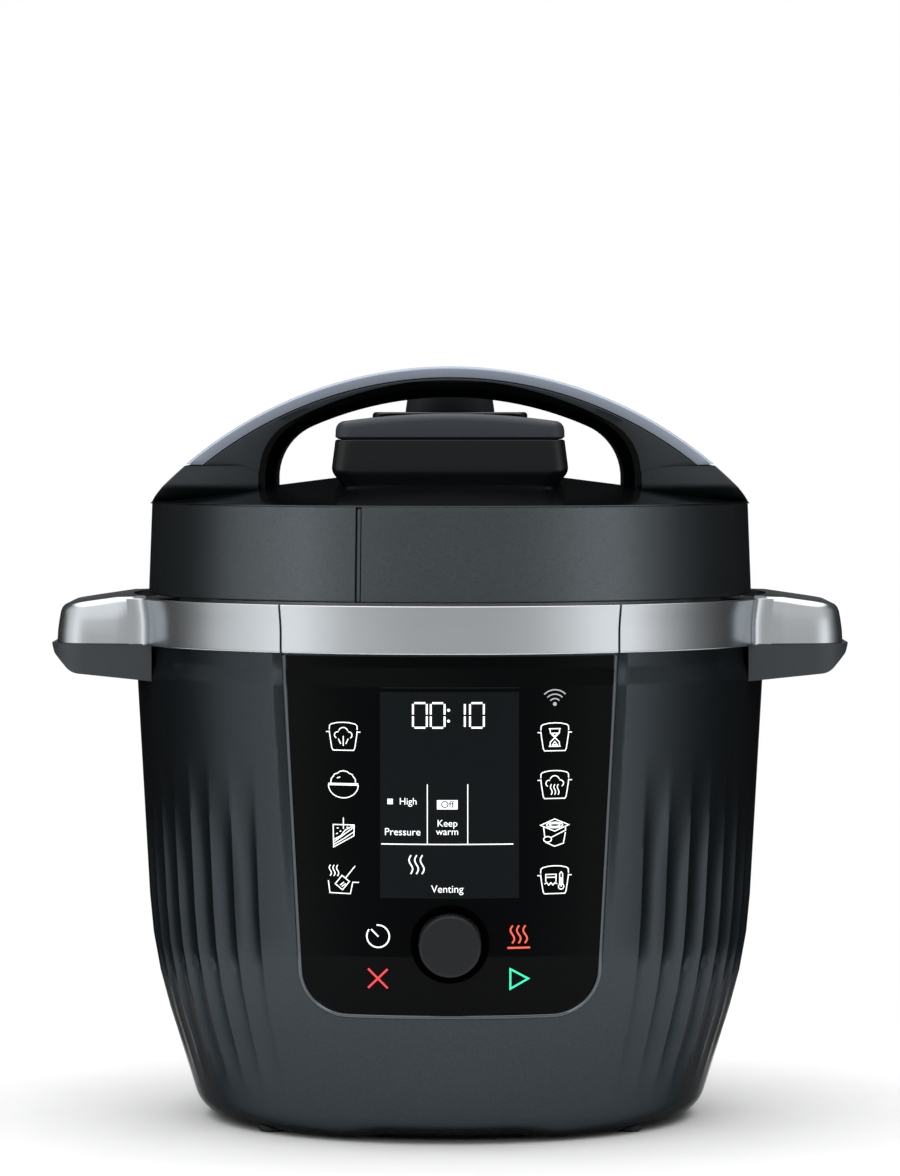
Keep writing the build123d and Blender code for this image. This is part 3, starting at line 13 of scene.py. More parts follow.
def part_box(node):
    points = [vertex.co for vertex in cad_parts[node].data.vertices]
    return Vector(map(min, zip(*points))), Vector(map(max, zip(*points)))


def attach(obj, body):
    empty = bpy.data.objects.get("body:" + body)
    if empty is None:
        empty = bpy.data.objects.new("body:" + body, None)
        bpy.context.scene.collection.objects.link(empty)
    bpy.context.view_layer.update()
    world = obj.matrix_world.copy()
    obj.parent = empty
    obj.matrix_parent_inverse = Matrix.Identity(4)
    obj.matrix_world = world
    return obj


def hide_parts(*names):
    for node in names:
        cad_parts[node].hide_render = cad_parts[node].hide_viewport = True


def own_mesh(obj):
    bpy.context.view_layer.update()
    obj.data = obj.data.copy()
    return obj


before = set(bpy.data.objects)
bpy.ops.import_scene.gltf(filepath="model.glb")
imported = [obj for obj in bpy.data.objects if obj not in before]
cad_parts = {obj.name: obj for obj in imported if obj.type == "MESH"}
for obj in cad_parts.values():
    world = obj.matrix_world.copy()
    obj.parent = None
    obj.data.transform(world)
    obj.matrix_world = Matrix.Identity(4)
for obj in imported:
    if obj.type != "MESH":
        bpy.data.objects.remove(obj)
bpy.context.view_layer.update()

MM = 0.001


def low(node):
    """Lowest corner of a CAD node, in millimetres."""
    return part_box(node)[0] / MM


def high(node):
    """Highest corner of a CAD node, in millimetres."""
    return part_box(node)[1] / MM


# ------------------------------------------------------------------ sizes taken from the imported parts
SHELL_BOTTOM = low("housing_shell").z
SHELL_TOP = high("housing_shell").z
SHOULDER_R = high("housing_shell").x
RING_BOTTOM = low("trim_ring_front").z
RING_TOP = high("trim_ring_front").z
LIP_R = -low("trim_ring_front").y
LID_BASE_R = high("lid_cover").x
LID_BOTTOM = RING_TOP + 0.9
LID_RIM_R = LID_BASE_R - 1.5
LID_RIM_Z = LID_BOTTOM + 39.4
APEX_Z = high("lid_cover").z
ARC_TOP = high("handle_cap").z
HANDLE_REACH = high("handle_cover_right").x
HANDLE_TOP = high("handle_cover_right").z
PANEL_LOW = low("control_glass").z
PANEL_HIGH = high("control_glass").z
PANEL_TOP_HALF = high("control_glass").x
HOUSING_SEAM = high("steam_housing").z
HOUSING_HALF = high("steam_housing").x
HOUSING_FRONT = low("steam_housing").y
HOUSING_BACK = high("steam_housing").y
DIAL_Z = (low("dial_knob").z + high("dial_knob").z) / 2
DIAL_R = high("dial_knob").x
DIAL_RING_R = high("dial_ring").x

# Body profile: cones, knee and foot (radius, height)
BODY_POINTS = [
    (SHOULDER_R - 48.3, SHELL_BOTTOM),
    (SHOULDER_R - 28.1, SHELL_BOTTOM),
    (SHOULDER_R - 6.6, 70.3),
    (SHOULDER_R + 0.0, 190.0),
    (SHOULDER_R - 2.3, 197.5),
    (SHOULDER_R - 2.3, SHELL_TOP),
]
BODY_BLENDS = {1: 14.5, 2: 200.0, 3: 5.0}
PANEL_LOW_HALF = PANEL_TOP_HALF - 7.5
PANEL_CORNER = 18.5

# Flutes
FLUTE_START, FLUTE_END, FLUTE_PITCH = 37.5, 151.5, 6.0
FLUTE_DEPTH = 1.8


# ------------------------------------------------------------------ materials
def colour(text):
    """Linear RGBA of an sRGB hex colour."""
    parts = [int(text[i:i + 2], 16) / 255 for i in (1, 3, 5)]
    return [c / 12.92 if c <= 0.04045 else ((c + 0.055) / 1.055) ** 2.4 for c in parts] + [1.0]


def add(tree, kind, inputs=None, **settings):
    """Adds a node; inputs maps a socket's name or number to a value or to another node's output."""
    node = tree.nodes.new("ShaderNode" + kind)
    for name, value in settings.items():
        setattr(node, name, value)
    for name, value in (inputs or {}).items():
        if isinstance(value, bpy.types.NodeSocket):
            tree.links.new(value, node.inputs[name])
        else:
            node.inputs[name].default_value = value
    return node


def material(name, base, roughness, metallic=0.0, grain=None, speckle=None, bump=None, **extra):
    """One surface. grain varies roughness, speckle the colour and bump the height.

    Each is (size in mm, amount), or (size, amount, stretch) with a stretch per axis.
    """
    made = bpy.data.materials.new(name)
    made.use_nodes = True
    tree = made.node_tree
    shader = tree.nodes["Principled BSDF"]
    place = add(tree, "TexCoord").outputs["Object"]

    def pattern(size, stretch=(1, 1, 1)):
        """Noise whose grains are size mm across."""
        scale = [1 / (size * MM) * s for s in stretch]
        scaled = add(tree, "Mapping", {"Vector": place, "Scale": scale})
        return add(tree, "TexNoise", {"Vector": scaled.outputs[0], "Scale": 1.0, "Detail": 2.0})

    shader.inputs["Metallic"].default_value = metallic
    for socket, value in extra.items():
        shader.inputs[socket.replace("_", " ")].default_value = value
    base = colour(base)
    if speckle:
        size, amount = speckle[:2]
        noise = pattern(size, *speckle[2:])
        ramp = add(tree, "MapRange", {"Value": noise.outputs["Fac"], "From Min": 0.3, "From Max": 0.7,
                                      "To Min": 1 - amount, "To Max": 1 + amount})
        mix = add(tree, "Mix", {0: 1.0, 6: base, 7: ramp.outputs[0]}, data_type="RGBA", blend_type="MULTIPLY")
        tree.links.new(mix.outputs[2], shader.inputs["Base Color"])
    else:
        shader.inputs["Base Color"].default_value = base
    grain = grain or (18.0, 0.04)
    noise = pattern(grain[0], *grain[2:])
    rough = add(tree, "MapRange", {"Value": noise.outputs["Fac"], "From Min": 0.25, "From Max": 0.75,
                                   "To Min": roughness - grain[1], "To Max": roughness + grain[1]})
    tree.links.new(rough.outputs[0], shader.inputs["Roughness"])
    if bump:
        size, amount = bump[:2]
        noise = pattern(size, *bump[2:])
        relief = add(tree, "Bump", {"Height": noise.outputs["Fac"], "Strength": 1.0,
                                    "Distance": amount * MM})
        tree.links.new(relief.outputs[0], shader.inputs["Normal"])
    return made


# Flakes, grit and mould texture are finer than half a millimetre on the real surfaces. They are drawn
# about 0.4 to 0.8 mm across, as coarse as they need to be to show.

# ABS moulded with metal flake and clear coated: a dark sheen that mirrors soft boxes along its flutes
BODY = material("body_abs_flake", "#3d4347", 0.2, 0.85, speckle=(0.5, 0.16), grain=(30, 0.02),
                bump=(0.6, 0.003), Specular_Tint=(0.2, 0.2, 0.2, 1))
# The same flaked ABS in the lid's band, a little lighter and more speckled
LID = material("lid_abs_flake", "#575d60", 0.2, 0.85, speckle=(0.45, 0.24), grain=(25, 0.02),
               bump=(0.5, 0.004), Specular_Tint=(0.2, 0.2, 0.2, 1))
# Black ABS from a polished mould: nearly black, with clear but weak reflections. The dome's near black is
# painted shade on the lid cover's plastic.
DOME_PAINTED_SHADE = material("lid_dome_painted_shade", "#06080a", 0.14, speckle=(2.0, 0.05), grain=(20, 0.02),
                Specular_IOR_Level=0.2)
# Near black of the handle's inner bands: painted shade where the handle curves in over its window; the gloss is
# the plastic's own.
GLOSS_PAINTED_SHADE = material("gloss_abs_painted_shade", "#020304", 0.12, speckle=(3.0, 0.05), grain=(20, 0.02),
                 Specular_IOR_Level=0.1)
HOUSING = material("housing_abs_gloss", "#06090c", 0.2, speckle=(3.0, 0.05), grain=(20, 0.02),
                   Specular_IOR_Level=0.35)
# ABS from lightly etched moulds: soft broad highlights and no mirror image
SLATE = material("handle_root_abs_satin", "#293033", 0.42, speckle=(1.2, 0.05), grain=(12, 0.04),
                 bump=(0.5, 0.006), Specular_IOR_Level=0.35)
SATIN = material("satin_abs_moulded", "#1a2026", 0.3, speckle=(1.2, 0.06), grain=(12, 0.04),
                 bump=(0.5, 0.006), Specular_IOR_Level=0.4)
CAPGREY = material("steam_cap_satin_abs", "#2c3238", 0.42, speckle=(1.0, 0.05), grain=(9, 0.04),
                   bump=(0.4, 0.008), Specular_IOR_Level=0.4)
# ABS with a fine spark-eroded texture: dull, hardly any highlight
MATTE = material("matte_abs_fine_texture", "#1d2022", 0.55, speckle=(0.8, 0.08), grain=(6, 0.05),
                 bump=(0.5, 0.015), Specular_IOR_Level=0.3)
KNOB = material("dial_abs_fine_texture", "#15171a", 0.5, speckle=(0.8, 0.06), grain=(6, 0.04),
                bump=(0.5, 0.01), Specular_IOR_Level=0.3)
GRIP = material("grip_abs_satin", "#343a3e", 0.42, speckle=(0.8, 0.08), grain=(8, 0.05), bump=(0.5, 0.01))
# Moulded cap and trims with a sprayed metallic coat: brushed-looking silver with wide soft highlights
CAP = material("handle_cap_coated", "#9aa3b2", 0.36, 0.7, speckle=(0.4, 0.06), grain=(14, 0.03),
               bump=(0.5, 0.004))
TRIM = material("trim_coated_satin_silver", "#ced3d7", 0.2, 0.95, speckle=(0.35, 0.04), grain=(16, 0.015),
                Specular_Tint=(0.3, 0.3, 0.3, 1))
BEZEL = material("bezel_bright_coat", "#5c6267", 0.2, 0.9, speckle=(0.5, 0.04), grain=(10, 0.03))
# Glass printed black from behind: a deep black with a faint clear reflection
GLASS = material("panel_glass_black", "#030405", 0.07, speckle=(8.0, 0.03), grain=(40, 0.015),
                 Specular_IOR_Level=0.06)
# Stainless steel, spun and brushed round the pot: fine lines that stretch the highlights upright
STEEL = material("steel_brushed", "#b9bab8", 0.3, 1.0, speckle=(1.0, 0.05, (1, 1, 40)),
                 grain=(1.0, 0.08, (1, 1, 40)))
# Pressed stainless sheet: satin, with slight waves from the press
PRESSED = material("steel_pressed_satin", "#a3a4a2", 0.38, 1.0, speckle=(3.0, 0.05), grain=(5, 0.06),
                   bump=(1.5, 0.01))
# Die-cast aluminium, blasted: pale, grainy and dull
ALUMINIUM = material("aluminium_cast", "#b4b6b8", 0.42, 1.0, speckle=(1.2, 0.07), grain=(3, 0.08),
                     bump=(0.8, 0.02))
# Steel tube darkened by heat: patchy brown-grey
ELEMENT = material("heating_element_oxidised", "#4b4744", 0.55, 1.0, speckle=(2.0, 0.2), grain=(3, 0.1))
# Zinc plate on steel screws and springs: a cool bright grey
ZINC = material("screw_zinc_plated", "#9a9ca0", 0.35, 1.0, speckle=(1.0, 0.06), grain=(2, 0.08))
# Moulded silicone: milky, and light goes a little way in
SILICONE = material("silicone_translucent", "#d3d3cd", 0.48, speckle=(4.0, 0.03), grain=(5, 0.05),
                    Subsurface_Weight=0.3)
# Moulded rubber: black, dusty and quite dull
RUBBER = material("foot_rubber_matt", "#141414", 0.75, speckle=(1.0, 0.15), grain=(3, 0.08),
                  bump=(0.6, 0.03))
# Glass-fibre board under green lacquer, and the display's white moulded frame
BOARD = material("board_solder_mask", "#123d22", 0.4, speckle=(3.0, 0.12), grain=(4, 0.08))
FRAME = material("display_frame_white", "#cfcfca", 0.5, speckle=(2.0, 0.04), grain=(4, 0.05))
# Clear plastic tinted grey and moulded smooth: partly see-through, with sharp reflections
SMOKED = material("cup_smoked_plastic", "#3b3f43", 0.12, speckle=(4.0, 0.04), grain=(10, 0.03),
                  Transmission_Weight=0.75, IOR=1.49)


def lit(name, text, strength):
    """Printed or backlit marks on the panel."""
    made = material(name, text, 0.5, speckle=(1.0, 0.02))
    shader = made.node_tree.nodes["Principled BSDF"]
    shader.inputs["Emission Color"].default_value = colour(text)
    shader.inputs["Emission Strength"].default_value = strength
    return made


# Screen-printed ink, and marks lit from behind through it: flat even colour that glows a little
INK = material("ink_black_on_mark", "#020202", 0.6, speckle=(1.0, 0.02), Specular_IOR_Level=0.0)
MARK = lit("mark_white_backlit", "#eef1f1", 0.85)
MARK_GREY = lit("mark_grey_backlit", "#a9adae", 0.5)
MARK_RED = lit("mark_red_backlit", "#f0383e", 0.8)
MARK_WARM = lit("mark_orange_backlit", "#e5543c", 0.7)
MARK_GREEN = lit("mark_green_backlit", "#2fd9a4", 0.75)
# Smoked window over the unlit display: a shade lighter than the black glass round it
SCREEN = material("display_window_smoked", "#14181a", 0.16, speckle=(6.0, 0.03), grain=(20, 0.02),
                  Specular_IOR_Level=0.08)

CAD_MATERIALS = {
    "base_plate": MATTE, "base_screws": ZINC, "foot_front_left": RUBBER, "foot_front_right": RUBBER,
    "foot_rear_left": RUBBER, "foot_rear_right": RUBBER, "ring_carrier": MATTE, "inner_liner": PRESSED,
    "bayonet_ring": PRESSED, "heating_plate": ALUMINIUM, "heating_element": ELEMENT,
    "sensor_bracket": PRESSED, "temperature_sensor": ALUMINIUM, "sensor_spring": ZINC,
    "inner_pot": STEEL, "power_board": BOARD, "control_board": BOARD, "display_module": FRAME,
    "encoder_body": FRAME, "encoder_shaft": PRESSED, "power_inlet": MATTE, "inlet_pins": PRESSED,
    "condensation_cup": SMOKED, "cup_rails": MATTE, "lid_liner": STEEL, "lid_screws": ZINC,
    "sealing_ring": SILICONE, "seal_rack": PRESSED, "anti_block_shield": STEEL, "steam_pipe": PRESSED,
    "steam_valve": MATTE, "release_housing": SATIN, "release_button": MATTE, "release_spring": ZINC,
    "float_valve": PRESSED, "handle_grip_left": GRIP, "handle_grip_right": GRIP,
    "dial_ring": INK, "dial_knob": KNOB, "control_glass": GLASS, "panel_bezel": BEZEL,
    "lid_cover": LID, "handle_root_left": SLATE, "handle_root_right": SLATE, "lid_handle": GLOSS_PAINTED_SHADE,
    "handle_cap": CAP, "steam_housing": HOUSING, "steam_cap": CAPGREY, "housing_shell": BODY,
    "trim_ring_front": TRIM, "trim_ring_left": TRIM, "trim_ring_right": TRIM, "trim_ring_rear": TRIM,
    "handle_cover_left": TRIM, "handle_cover_right": TRIM,
}
for node, used in CAD_MATERIALS.items():
    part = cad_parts.get(node)
    if part:
        part.data.materials.clear()
        part.data.materials.append(used)


# ------------------------------------------------------------------ outlines and meshes
def rounded(points, blends, step=3.0, closed=False, turn=6.0):
    """Points along a line whose named corners are arcs; straight runs are cut to step."""
    count = len(points)
    made = []

    def run(target):
        if made:
            gap = (target - made[-1]).length
            for i in range(1, int(gap / step) + 1):
                if i * step < gap - 0.3 * step:
                    made.append(start + (target - start) * (i * step / gap))

    for index in range(count):
        here = Vector(points[index])
        radius = blends.get(index, 0.0)
        if radius and (closed or 0 < index < count - 1):
            before = (Vector(points[index - 1]) - here).normalized()
            after = (Vector(points[(index + 1) % count]) - here).normalized()
            half = before.angle(after) / 2
            reach = radius / math.tan(half)
            centre = here + (before + after).normalized() * (radius / math.sin(half))
            a, b = here + before * reach, here + after * reach
            sweep = math.pi - 2 * half
            pieces = max(2, math.ceil(math.degrees(sweep) / turn))
            start = made[-1] if made else a
            run(a)
            ca, cb = a - centre, b - centre
            whole = math.atan2(ca.x * cb.y - ca.y * cb.x, ca.dot(cb))
            for i in range(pieces + 1):
                made.append(centre + Matrix.Rotation(whole * i / pieces, 2) @ ca)
        else:
            start = made[-1] if made else here
            run(here)
            made.append(here)
    if closed:
        start = made[-1]
        gap = (made[0] - start).length
        target = made[0]
        for i in range(1, int(gap / step) + 1):
            if i * step < gap - 0.3 * step:
                made.append(start + (target - start) * (i * step / gap))
    clean = [made[0]]
    for p in made[1:]:
        if (p - clean[-1]).length > 1e-4:
            clean.append(p)
    return clean


def inset(loop, amount):
    """A closed loop moved inwards by amount; it runs anticlockwise."""
    moved = []
    for i, p in enumerate(loop):
        a, b = loop[i - 1], loop[(i + 1) % len(loop)]
        along = (b - a).normalized()
        moved.append(p + Vector((-along.y, along.x)) * amount)
    return moved


def piece(name, mesh, body, used, replaces=(), sharp=34.0):
    """Turns a bmesh in millimetres into a shown piece that rides on a CAD body."""
    bmesh.ops.remove_doubles(mesh, verts=mesh.verts, dist=1e-4)
    bmesh.ops.recalc_face_normals(mesh, faces=mesh.faces)
    bmesh.ops.scale(mesh, vec=(MM, MM, MM), verts=mesh.verts)
    for face in mesh.faces:
        face.smooth = True
    for edge in mesh.edges:
        if len(edge.link_faces) == 2 and edge.calc_face_angle(0) > math.radians(sharp):
            edge.smooth = False
    data = bpy.data.meshes.new(name)
    mesh.to_mesh(data)
    mesh.free()
    for one in used if isinstance(used, tuple) else (used,):
        data.materials.append(one)
    made = bpy.data.objects.new(name, data)
    bpy.context.scene.collection.objects.link(made)
    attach(made, body)
    if replaces:
        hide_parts(*replaces)
    return made


def skin(mesh, loops, wrap=True, join_ends=False):
    """Quads between rows of points; each row has the same number of them. Returns the rows."""
    rows = [[mesh.verts.new(p) for p in loop] for loop in loops]
    pairs = list(zip(rows, rows[1:])) + ([(rows[-1], rows[0])] if join_ends else [])
    for a, b in pairs:
        for i in range(len(a) if wrap else len(a) - 1):
            j = (i + 1) % len(a)
            mesh.faces.new((a[i], a[j], b[j], b[i]))
    return rows


def around(mesh, profile, angles, shape=None, closed=False):
    """Spins a profile of (radius, height) through angles from the front, closed for a full turn."""
    loops = []
    for r, z in profile:
        loop = []
        for angle in angles:
            radius, height = shape(r, z, angle) if shape else (r, z)
            turn = math.radians(angle)
            loop.append((radius * math.sin(turn), -radius * math.cos(turn), height))
        loops.append(loop)
    full = abs(angles[-1] - angles[0]) > 340
    rows = skin(mesh, loops, wrap=full, join_ends=closed)
    if closed and not full:
        mesh.faces.new([row[0] for row in rows])
        mesh.faces.new([row[-1] for row in reversed(rows)])
    return rows


def steps(start, end, count):
    """count even steps from start, without end."""
    return [start + (end - start) * i / count for i in range(count)]


def smooth(value):
    """Eases from 0 to 1 and stays there."""
    value = min(1.0, max(0.0, value))
    return value * value * (3 - 2 * value)


# ------------------------------------------------------------------ body shell
body_line = rounded(BODY_POINTS, BODY_BLENDS, step=3.0, turn=5.0)


def body_radius(z):
    """Outer radius of the plain body at a height above the foot's blend."""
    for a, b in zip(body_line, body_line[1:]):
        if a.y <= z <= b.y and b.y > a.y and a.x > SHOULDER_R - 32:
            return a.x + (b.x - a.x) * (z - a.y) / (b.y - a.y)
    return SHOULDER_R


def panel_half(z):
    """Half width of the glass at a height, without its rounded corners."""
    return PANEL_LOW_HALF + (PANEL_TOP_HALF - PANEL_LOW_HALF) * (z - PANEL_LOW) / (PANEL_HIGH - PANEL_LOW)


def from_panel(x, z):
    """Distance outside the glass's outline in the front view."""
    across = abs(x) - (panel_half(z) - PANEL_CORNER)
    down = (PANEL_LOW + PANEL_CORNER) - z
    if across > 0 and down > 0:
        return math.hypot(across, down) - PANEL_CORNER
    return max(across, down) - PANEL_CORNER


def body_shape(r, z, angle):
    """Flutes, the valley beside the panel and the raised front edge of the foot."""
    turn = abs((angle + 180) % 360 - 180)
    if r < SHOULDER_R - 40:
        return r, z
    if FLUTE_START < turn < FLUTE_END:
        phase = (turn - FLUTE_START) / FLUTE_PITCH
        index = int(phase + 1e-6)
        u = phase - index
        begin = 166 - 9 * (index % 2)
        foot = (0.42 + 0.58 * smooth((z - 54) / 22)) * smooth((z - 14) / 26)
        depth = FLUTE_DEPTH * smooth((begin - z) / 60) * foot
        r -= depth * 4 * u * (1 - u)
    if turn < FLUTE_START:
        x = r * math.sin(math.radians(turn))
        gap = from_panel(x, z)
        if z > 70:
            deep = 2.8 * smooth((z - 72) / 120)
            r -= deep * (1 - smooth((gap - 2.0) / 4.2))
        if z < 12:
            z += 2.1 * (1 - smooth((turn - 14) / 14)) * (1 - smooth((z - 2) / 9))
    return r, z


half_columns = (steps(0, 24, 12) + steps(24, FLUTE_START, 30)
                + steps(FLUTE_START, FLUTE_END, 190) + steps(FLUTE_END, 180, 14))
columns = half_columns + [180] + [360 - a for a in reversed(half_columns[1:])]
shell_mesh = bmesh.new()
outer_rows = [tuple(p) for p in body_line]
inner_rows = [(SHOULDER_R - 5.2, SHELL_TOP), (SHOULDER_R - 5.2, 200.6), (SHOULDER_R - 16, 200.6),
              (SHOULDER_R - 16, 198.4), (SHOULDER_R - 5.2, 198.4), (SHOULDER_R - 3.0, 188.0),
              (SHOULDER_R - 9.4, 70.3), (SHOULDER_R - 28.0, 12.0), (SHOULDER_R - 36.0, 3.6),
              (SHOULDER_R - 48.3, 3.6)]
outer_set = set(outer_rows)
loops = []
for r, z in outer_rows + inner_rows:
    loop = []
    for angle in columns:
        rr, zz = body_shape(r, z, angle) if (r, z) in outer_set else (r, z)
        turn = math.radians(angle)
        loop.append((rr * math.sin(turn), -rr * math.cos(turn), zz))
    loops.append(loop)
skin(shell_mesh, loops, wrap=True, join_ends=True)
piece("body_shell", shell_mesh, "base", BODY, ["housing_shell"], sharp=20.0)

# ------------------------------------------------------------------ trim ring
RING_R = LIP_R - 1.3
ring_line = rounded(
    [(RING_R - 4.7, RING_BOTTOM), (RING_R, RING_BOTTOM), (RING_R, RING_TOP - 9),
     (LIP_R, RING_TOP), (LIP_R - 1.7, RING_TOP), (LIP_R - 2.3, RING_TOP - 1.8),
     (RING_R - 4.7, RING_TOP - 1.8)],
    {1: 1.0, 2: 40.0, 3: 0.5, 4: 0.4}, step=6.0, closed=True, turn=6.0)
# The side parts sweep out to the handles: a hollow fillet, then a short flat up to the handle's end
SWEEP_R, FLAT_Y, HANDLE_AT = 6.0, 47.0, 71.0
sweep_out = LIP_R + SWEEP_R
sweep_at = math.degrees(math.acos((FLAT_Y + SWEEP_R) / sweep_out))
sweep_end = math.degrees(math.atan2(math.sqrt(sweep_out ** 2 - (FLAT_Y + SWEEP_R) ** 2), FLAT_Y))


def ring_shape(r, z, angle):
    """Moves the outer side out where the ring runs into a handle."""
    turn = 90 - abs(90 - abs((angle + 180) % 360 - 180))
    if r < RING_R - 1 or not sweep_at < turn <= HANDLE_AT:
        return r, z
    if turn < sweep_end:
        off = math.radians(turn - sweep_at)
        reach = sweep_out * math.cos(off)
        reach -= math.sqrt(max(SWEEP_R ** 2 - (sweep_out * math.sin(off)) ** 2, 0))
    else:
        reach = FLAT_Y / math.cos(math.radians(turn))
    return reach - (LIP_R - r), z


RING_SEAM, REAR_SEAM, SEAM_HALF = 30.4, 152.0, 0.22
for name, start, end in (
    ("trim_ring_front", -RING_SEAM, RING_SEAM), ("trim_ring_right", RING_SEAM, REAR_SEAM),
    ("trim_ring_rear", REAR_SEAM, 360 - REAR_SEAM), ("trim_ring_left", -REAR_SEAM, -RING_SEAM),
):
    mesh = bmesh.new()
    fine = [sign * (base + k * 0.45)
            for sign in (1, -1) for base in (sweep_at, 180 - HANDLE_AT) for k in range(15)]
    fine += [sign * a for sign in (1, -1)
             for a in (HANDLE_AT, HANDLE_AT + 0.01, 180 - HANDLE_AT, 180 - HANDLE_AT - 0.01)]
    whole = [start + SEAM_HALF + k for k in range(int(end - start - 2 * SEAM_HALF) + 1)]
    whole.append(end - SEAM_HALF)
    angles = sorted(set(whole + [a for a in fine if start + 1 < a < end - 1]))
    around(mesh, [tuple(p) for p in ring_line], angles, closed=True, shape=ring_shape)
    piece(name + "_skin", mesh, "base", TRIM, [name])

# ------------------------------------------------------------------ side handles
SIDE = {"left": -1, "right": 1}
HANDLE_HALF, HANDLE_CORNER = 42.2, 16.0
root_r = LIP_R + 0.2


def handle_outline(reach, shrink=0.0):
    """Plan of a side handle, anticlockwise, from where the ring's sweep ends."""
    hidden_r = root_r - 2.2
    away = math.radians(HANDLE_AT)
    ray = Vector((math.sin(away), -math.cos(away)))
    near = ray * (FLAT_Y / math.cos(away) - 0.1)
    line = rounded([near, (reach, -HANDLE_HALF), (reach, HANDLE_HALF), (near.x, -near.y)],
                   {1: HANDLE_CORNER, 2: HANDLE_CORNER}, step=5.0, turn=7.0)
    moved = []
    for i, p in enumerate(line):
        along = (line[min(i + 1, len(line) - 1)] - line[max(i - 1, 0)]).normalized()
        moved.append(p + Vector((-along.y, along.x)) * shrink)
    moved[0] = near - ray * shrink
    moved[-1] = Vector((moved[0].x, -moved[0].y))
    half = math.atan2(-ray.y, ray.x)
    arc = [Vector((math.cos(a), math.sin(a))) * hidden_r for a in steps(half, -half, 24)] + [ray * hidden_r]
    return moved + arc


def cover_top(x):
    """Height of the handle's upper face, which falls towards its end."""
    return HANDLE_TOP - 3.4 * max(0.0, x - LIP_R) / 23.8


# Rows of the cover from its lower edge up: moved in by, height, or drop below the upper face
levels = [(0.0, 204.1, 0), (0.0, 204.8, 0), (0.2, 209.0, 0), (0.8, 213.5, 0),
          (1.5, None, 3.0), (2.2, None, 1.5), (3.2, None, 0.5), (4.8, None, 0.0)]
for name, side in SIDE.items():
    mesh = bmesh.new()
    loops = []
    for shrink, z, drop in levels:
        loop = handle_outline(HANDLE_REACH, shrink)
        loops.append([(side * p.x, p.y, z if z else cover_top(p.x) - drop) for p in loop])
    rows = skin(mesh, loops)
    mesh.faces.new(rows[0])
    mesh.faces.new(rows[-1])
    piece("handle_cover_%s_skin" % name, mesh, "base", TRIM, ["handle_cover_" + name], sharp=40)

# ------------------------------------------------------------------ lid
GROOVE_AT = -16.9
# The dome is a cone up to a rounded crown
CROWN_R, DOME_RISE = 26.0, 12.97
GROOVE_COLUMNS = [side * d for d in (0.66, 0.58, 0.5, 0.36, 0.28) for side in (-1, 1)]
lid_line = rounded(
    [(LID_BASE_R - 8, LID_BOTTOM), (LID_BASE_R, LID_BOTTOM), (LID_RIM_R, LID_RIM_Z),
     (CROWN_R, LID_RIM_Z + DOME_RISE), (0.02, APEX_Z)],
    {1: 0.7, 2: 0.9, 3: 60.0}, step=6.0, turn=15.0)
lid_angles = sorted(set([i * 1.5 for i in range(240)] + [360 + GROOVE_AT + d for d in GROOVE_COLUMNS]))


def lid_shape(r, z, angle):
    """The upright groove in the lid's band."""
    off = abs((angle - GROOVE_AT + 180) % 360 - 180)
    if r > LID_RIM_R - 0.8 and z < LID_RIM_Z - 0.05 and off < 0.6:
        r -= 0.7 if off < 0.3 else 1.6 if off < 0.52 else 0.0
    return r, z


mesh = bmesh.new()
line = [tuple(p) for p in lid_line if p.y <= LID_RIM_Z - 0.2]
line += [(LID_RIM_R - 6, line[-1][1]), (LID_BASE_R - 8, LID_BOTTOM + 4)]
around(mesh, line, lid_angles, closed=True, shape=lid_shape)
piece("lid_band", mesh, "lid", LID, ["lid_cover"])

# The dome is a sheet with a hole round the float's pin
PIN = (low("float_valve") + high("float_valve")) / 2
PIN_HOLE = 3.3
pin_r = math.hypot(PIN.x, PIN.y)
pin_angle = math.degrees(math.atan2(PIN.x, -PIN.y)) % 360
FIFTHS = [-1.0, -0.5, 0.0, 0.5, 1.0]
mesh = bmesh.new()
sheet = [tuple(p) for p in lid_line if p.y >= LID_RIM_Z - 0.9 and abs(p.x - pin_r) > PIN_HOLE + 0.8]


def dome_height(r):
    """Height of the dome's line at a radius."""
    for a, b in zip(lid_line, lid_line[1:]):
        if b.x <= r <= a.x and a.y > LID_RIM_Z - 0.9:
            return b.y + (a.y - b.y) * (r - b.x) / (a.x - b.x)
    return APEX_Z


sheet = sorted(sheet + [(pin_r + PIN_HOLE * f, dome_height(pin_r + PIN_HOLE * f)) for f in FIFTHS],
               key=lambda p: (p[1], -p[0]))
pin_half = math.degrees(PIN_HOLE / pin_r)
dome_angles = sorted([a for a in lid_angles if abs(a - pin_angle) > pin_half + 0.4]
                     + [pin_angle + pin_half * f for f in FIFTHS])
around(mesh, [(LID_RIM_R - 3, LID_RIM_Z - 3)] + sheet, dome_angles)
centre = Vector((PIN.x, PIN.y))


def square_off(vert):
    """Share of the hole's square that a vertex lies at, 1 on its edge."""
    r = math.hypot(vert.co.x, vert.co.y)
    a = math.degrees(math.atan2(vert.co.x, -vert.co.y)) % 360
    return max(abs(r - pin_r) / PIN_HOLE, abs(a - pin_angle) / pin_half)


inside = [v for v in mesh.verts if square_off(v) < 0.9]
edge = [v for v in mesh.verts if 0.9 < square_off(v) < 1.05]
bmesh.ops.delete(mesh, geom=inside, context="VERTS")
for v in edge:
    way = (Vector((v.co.x, v.co.y)) - centre).normalized() * PIN_HOLE
    v.co.x, v.co.y = centre.x + way.x, centre.y + way.y
# The dome's near-black colour is painted shade on the lid cover's plastic.
piece("lid_dome", mesh, "lid", DOME_PAINTED_SHADE, ["lid_cover"])

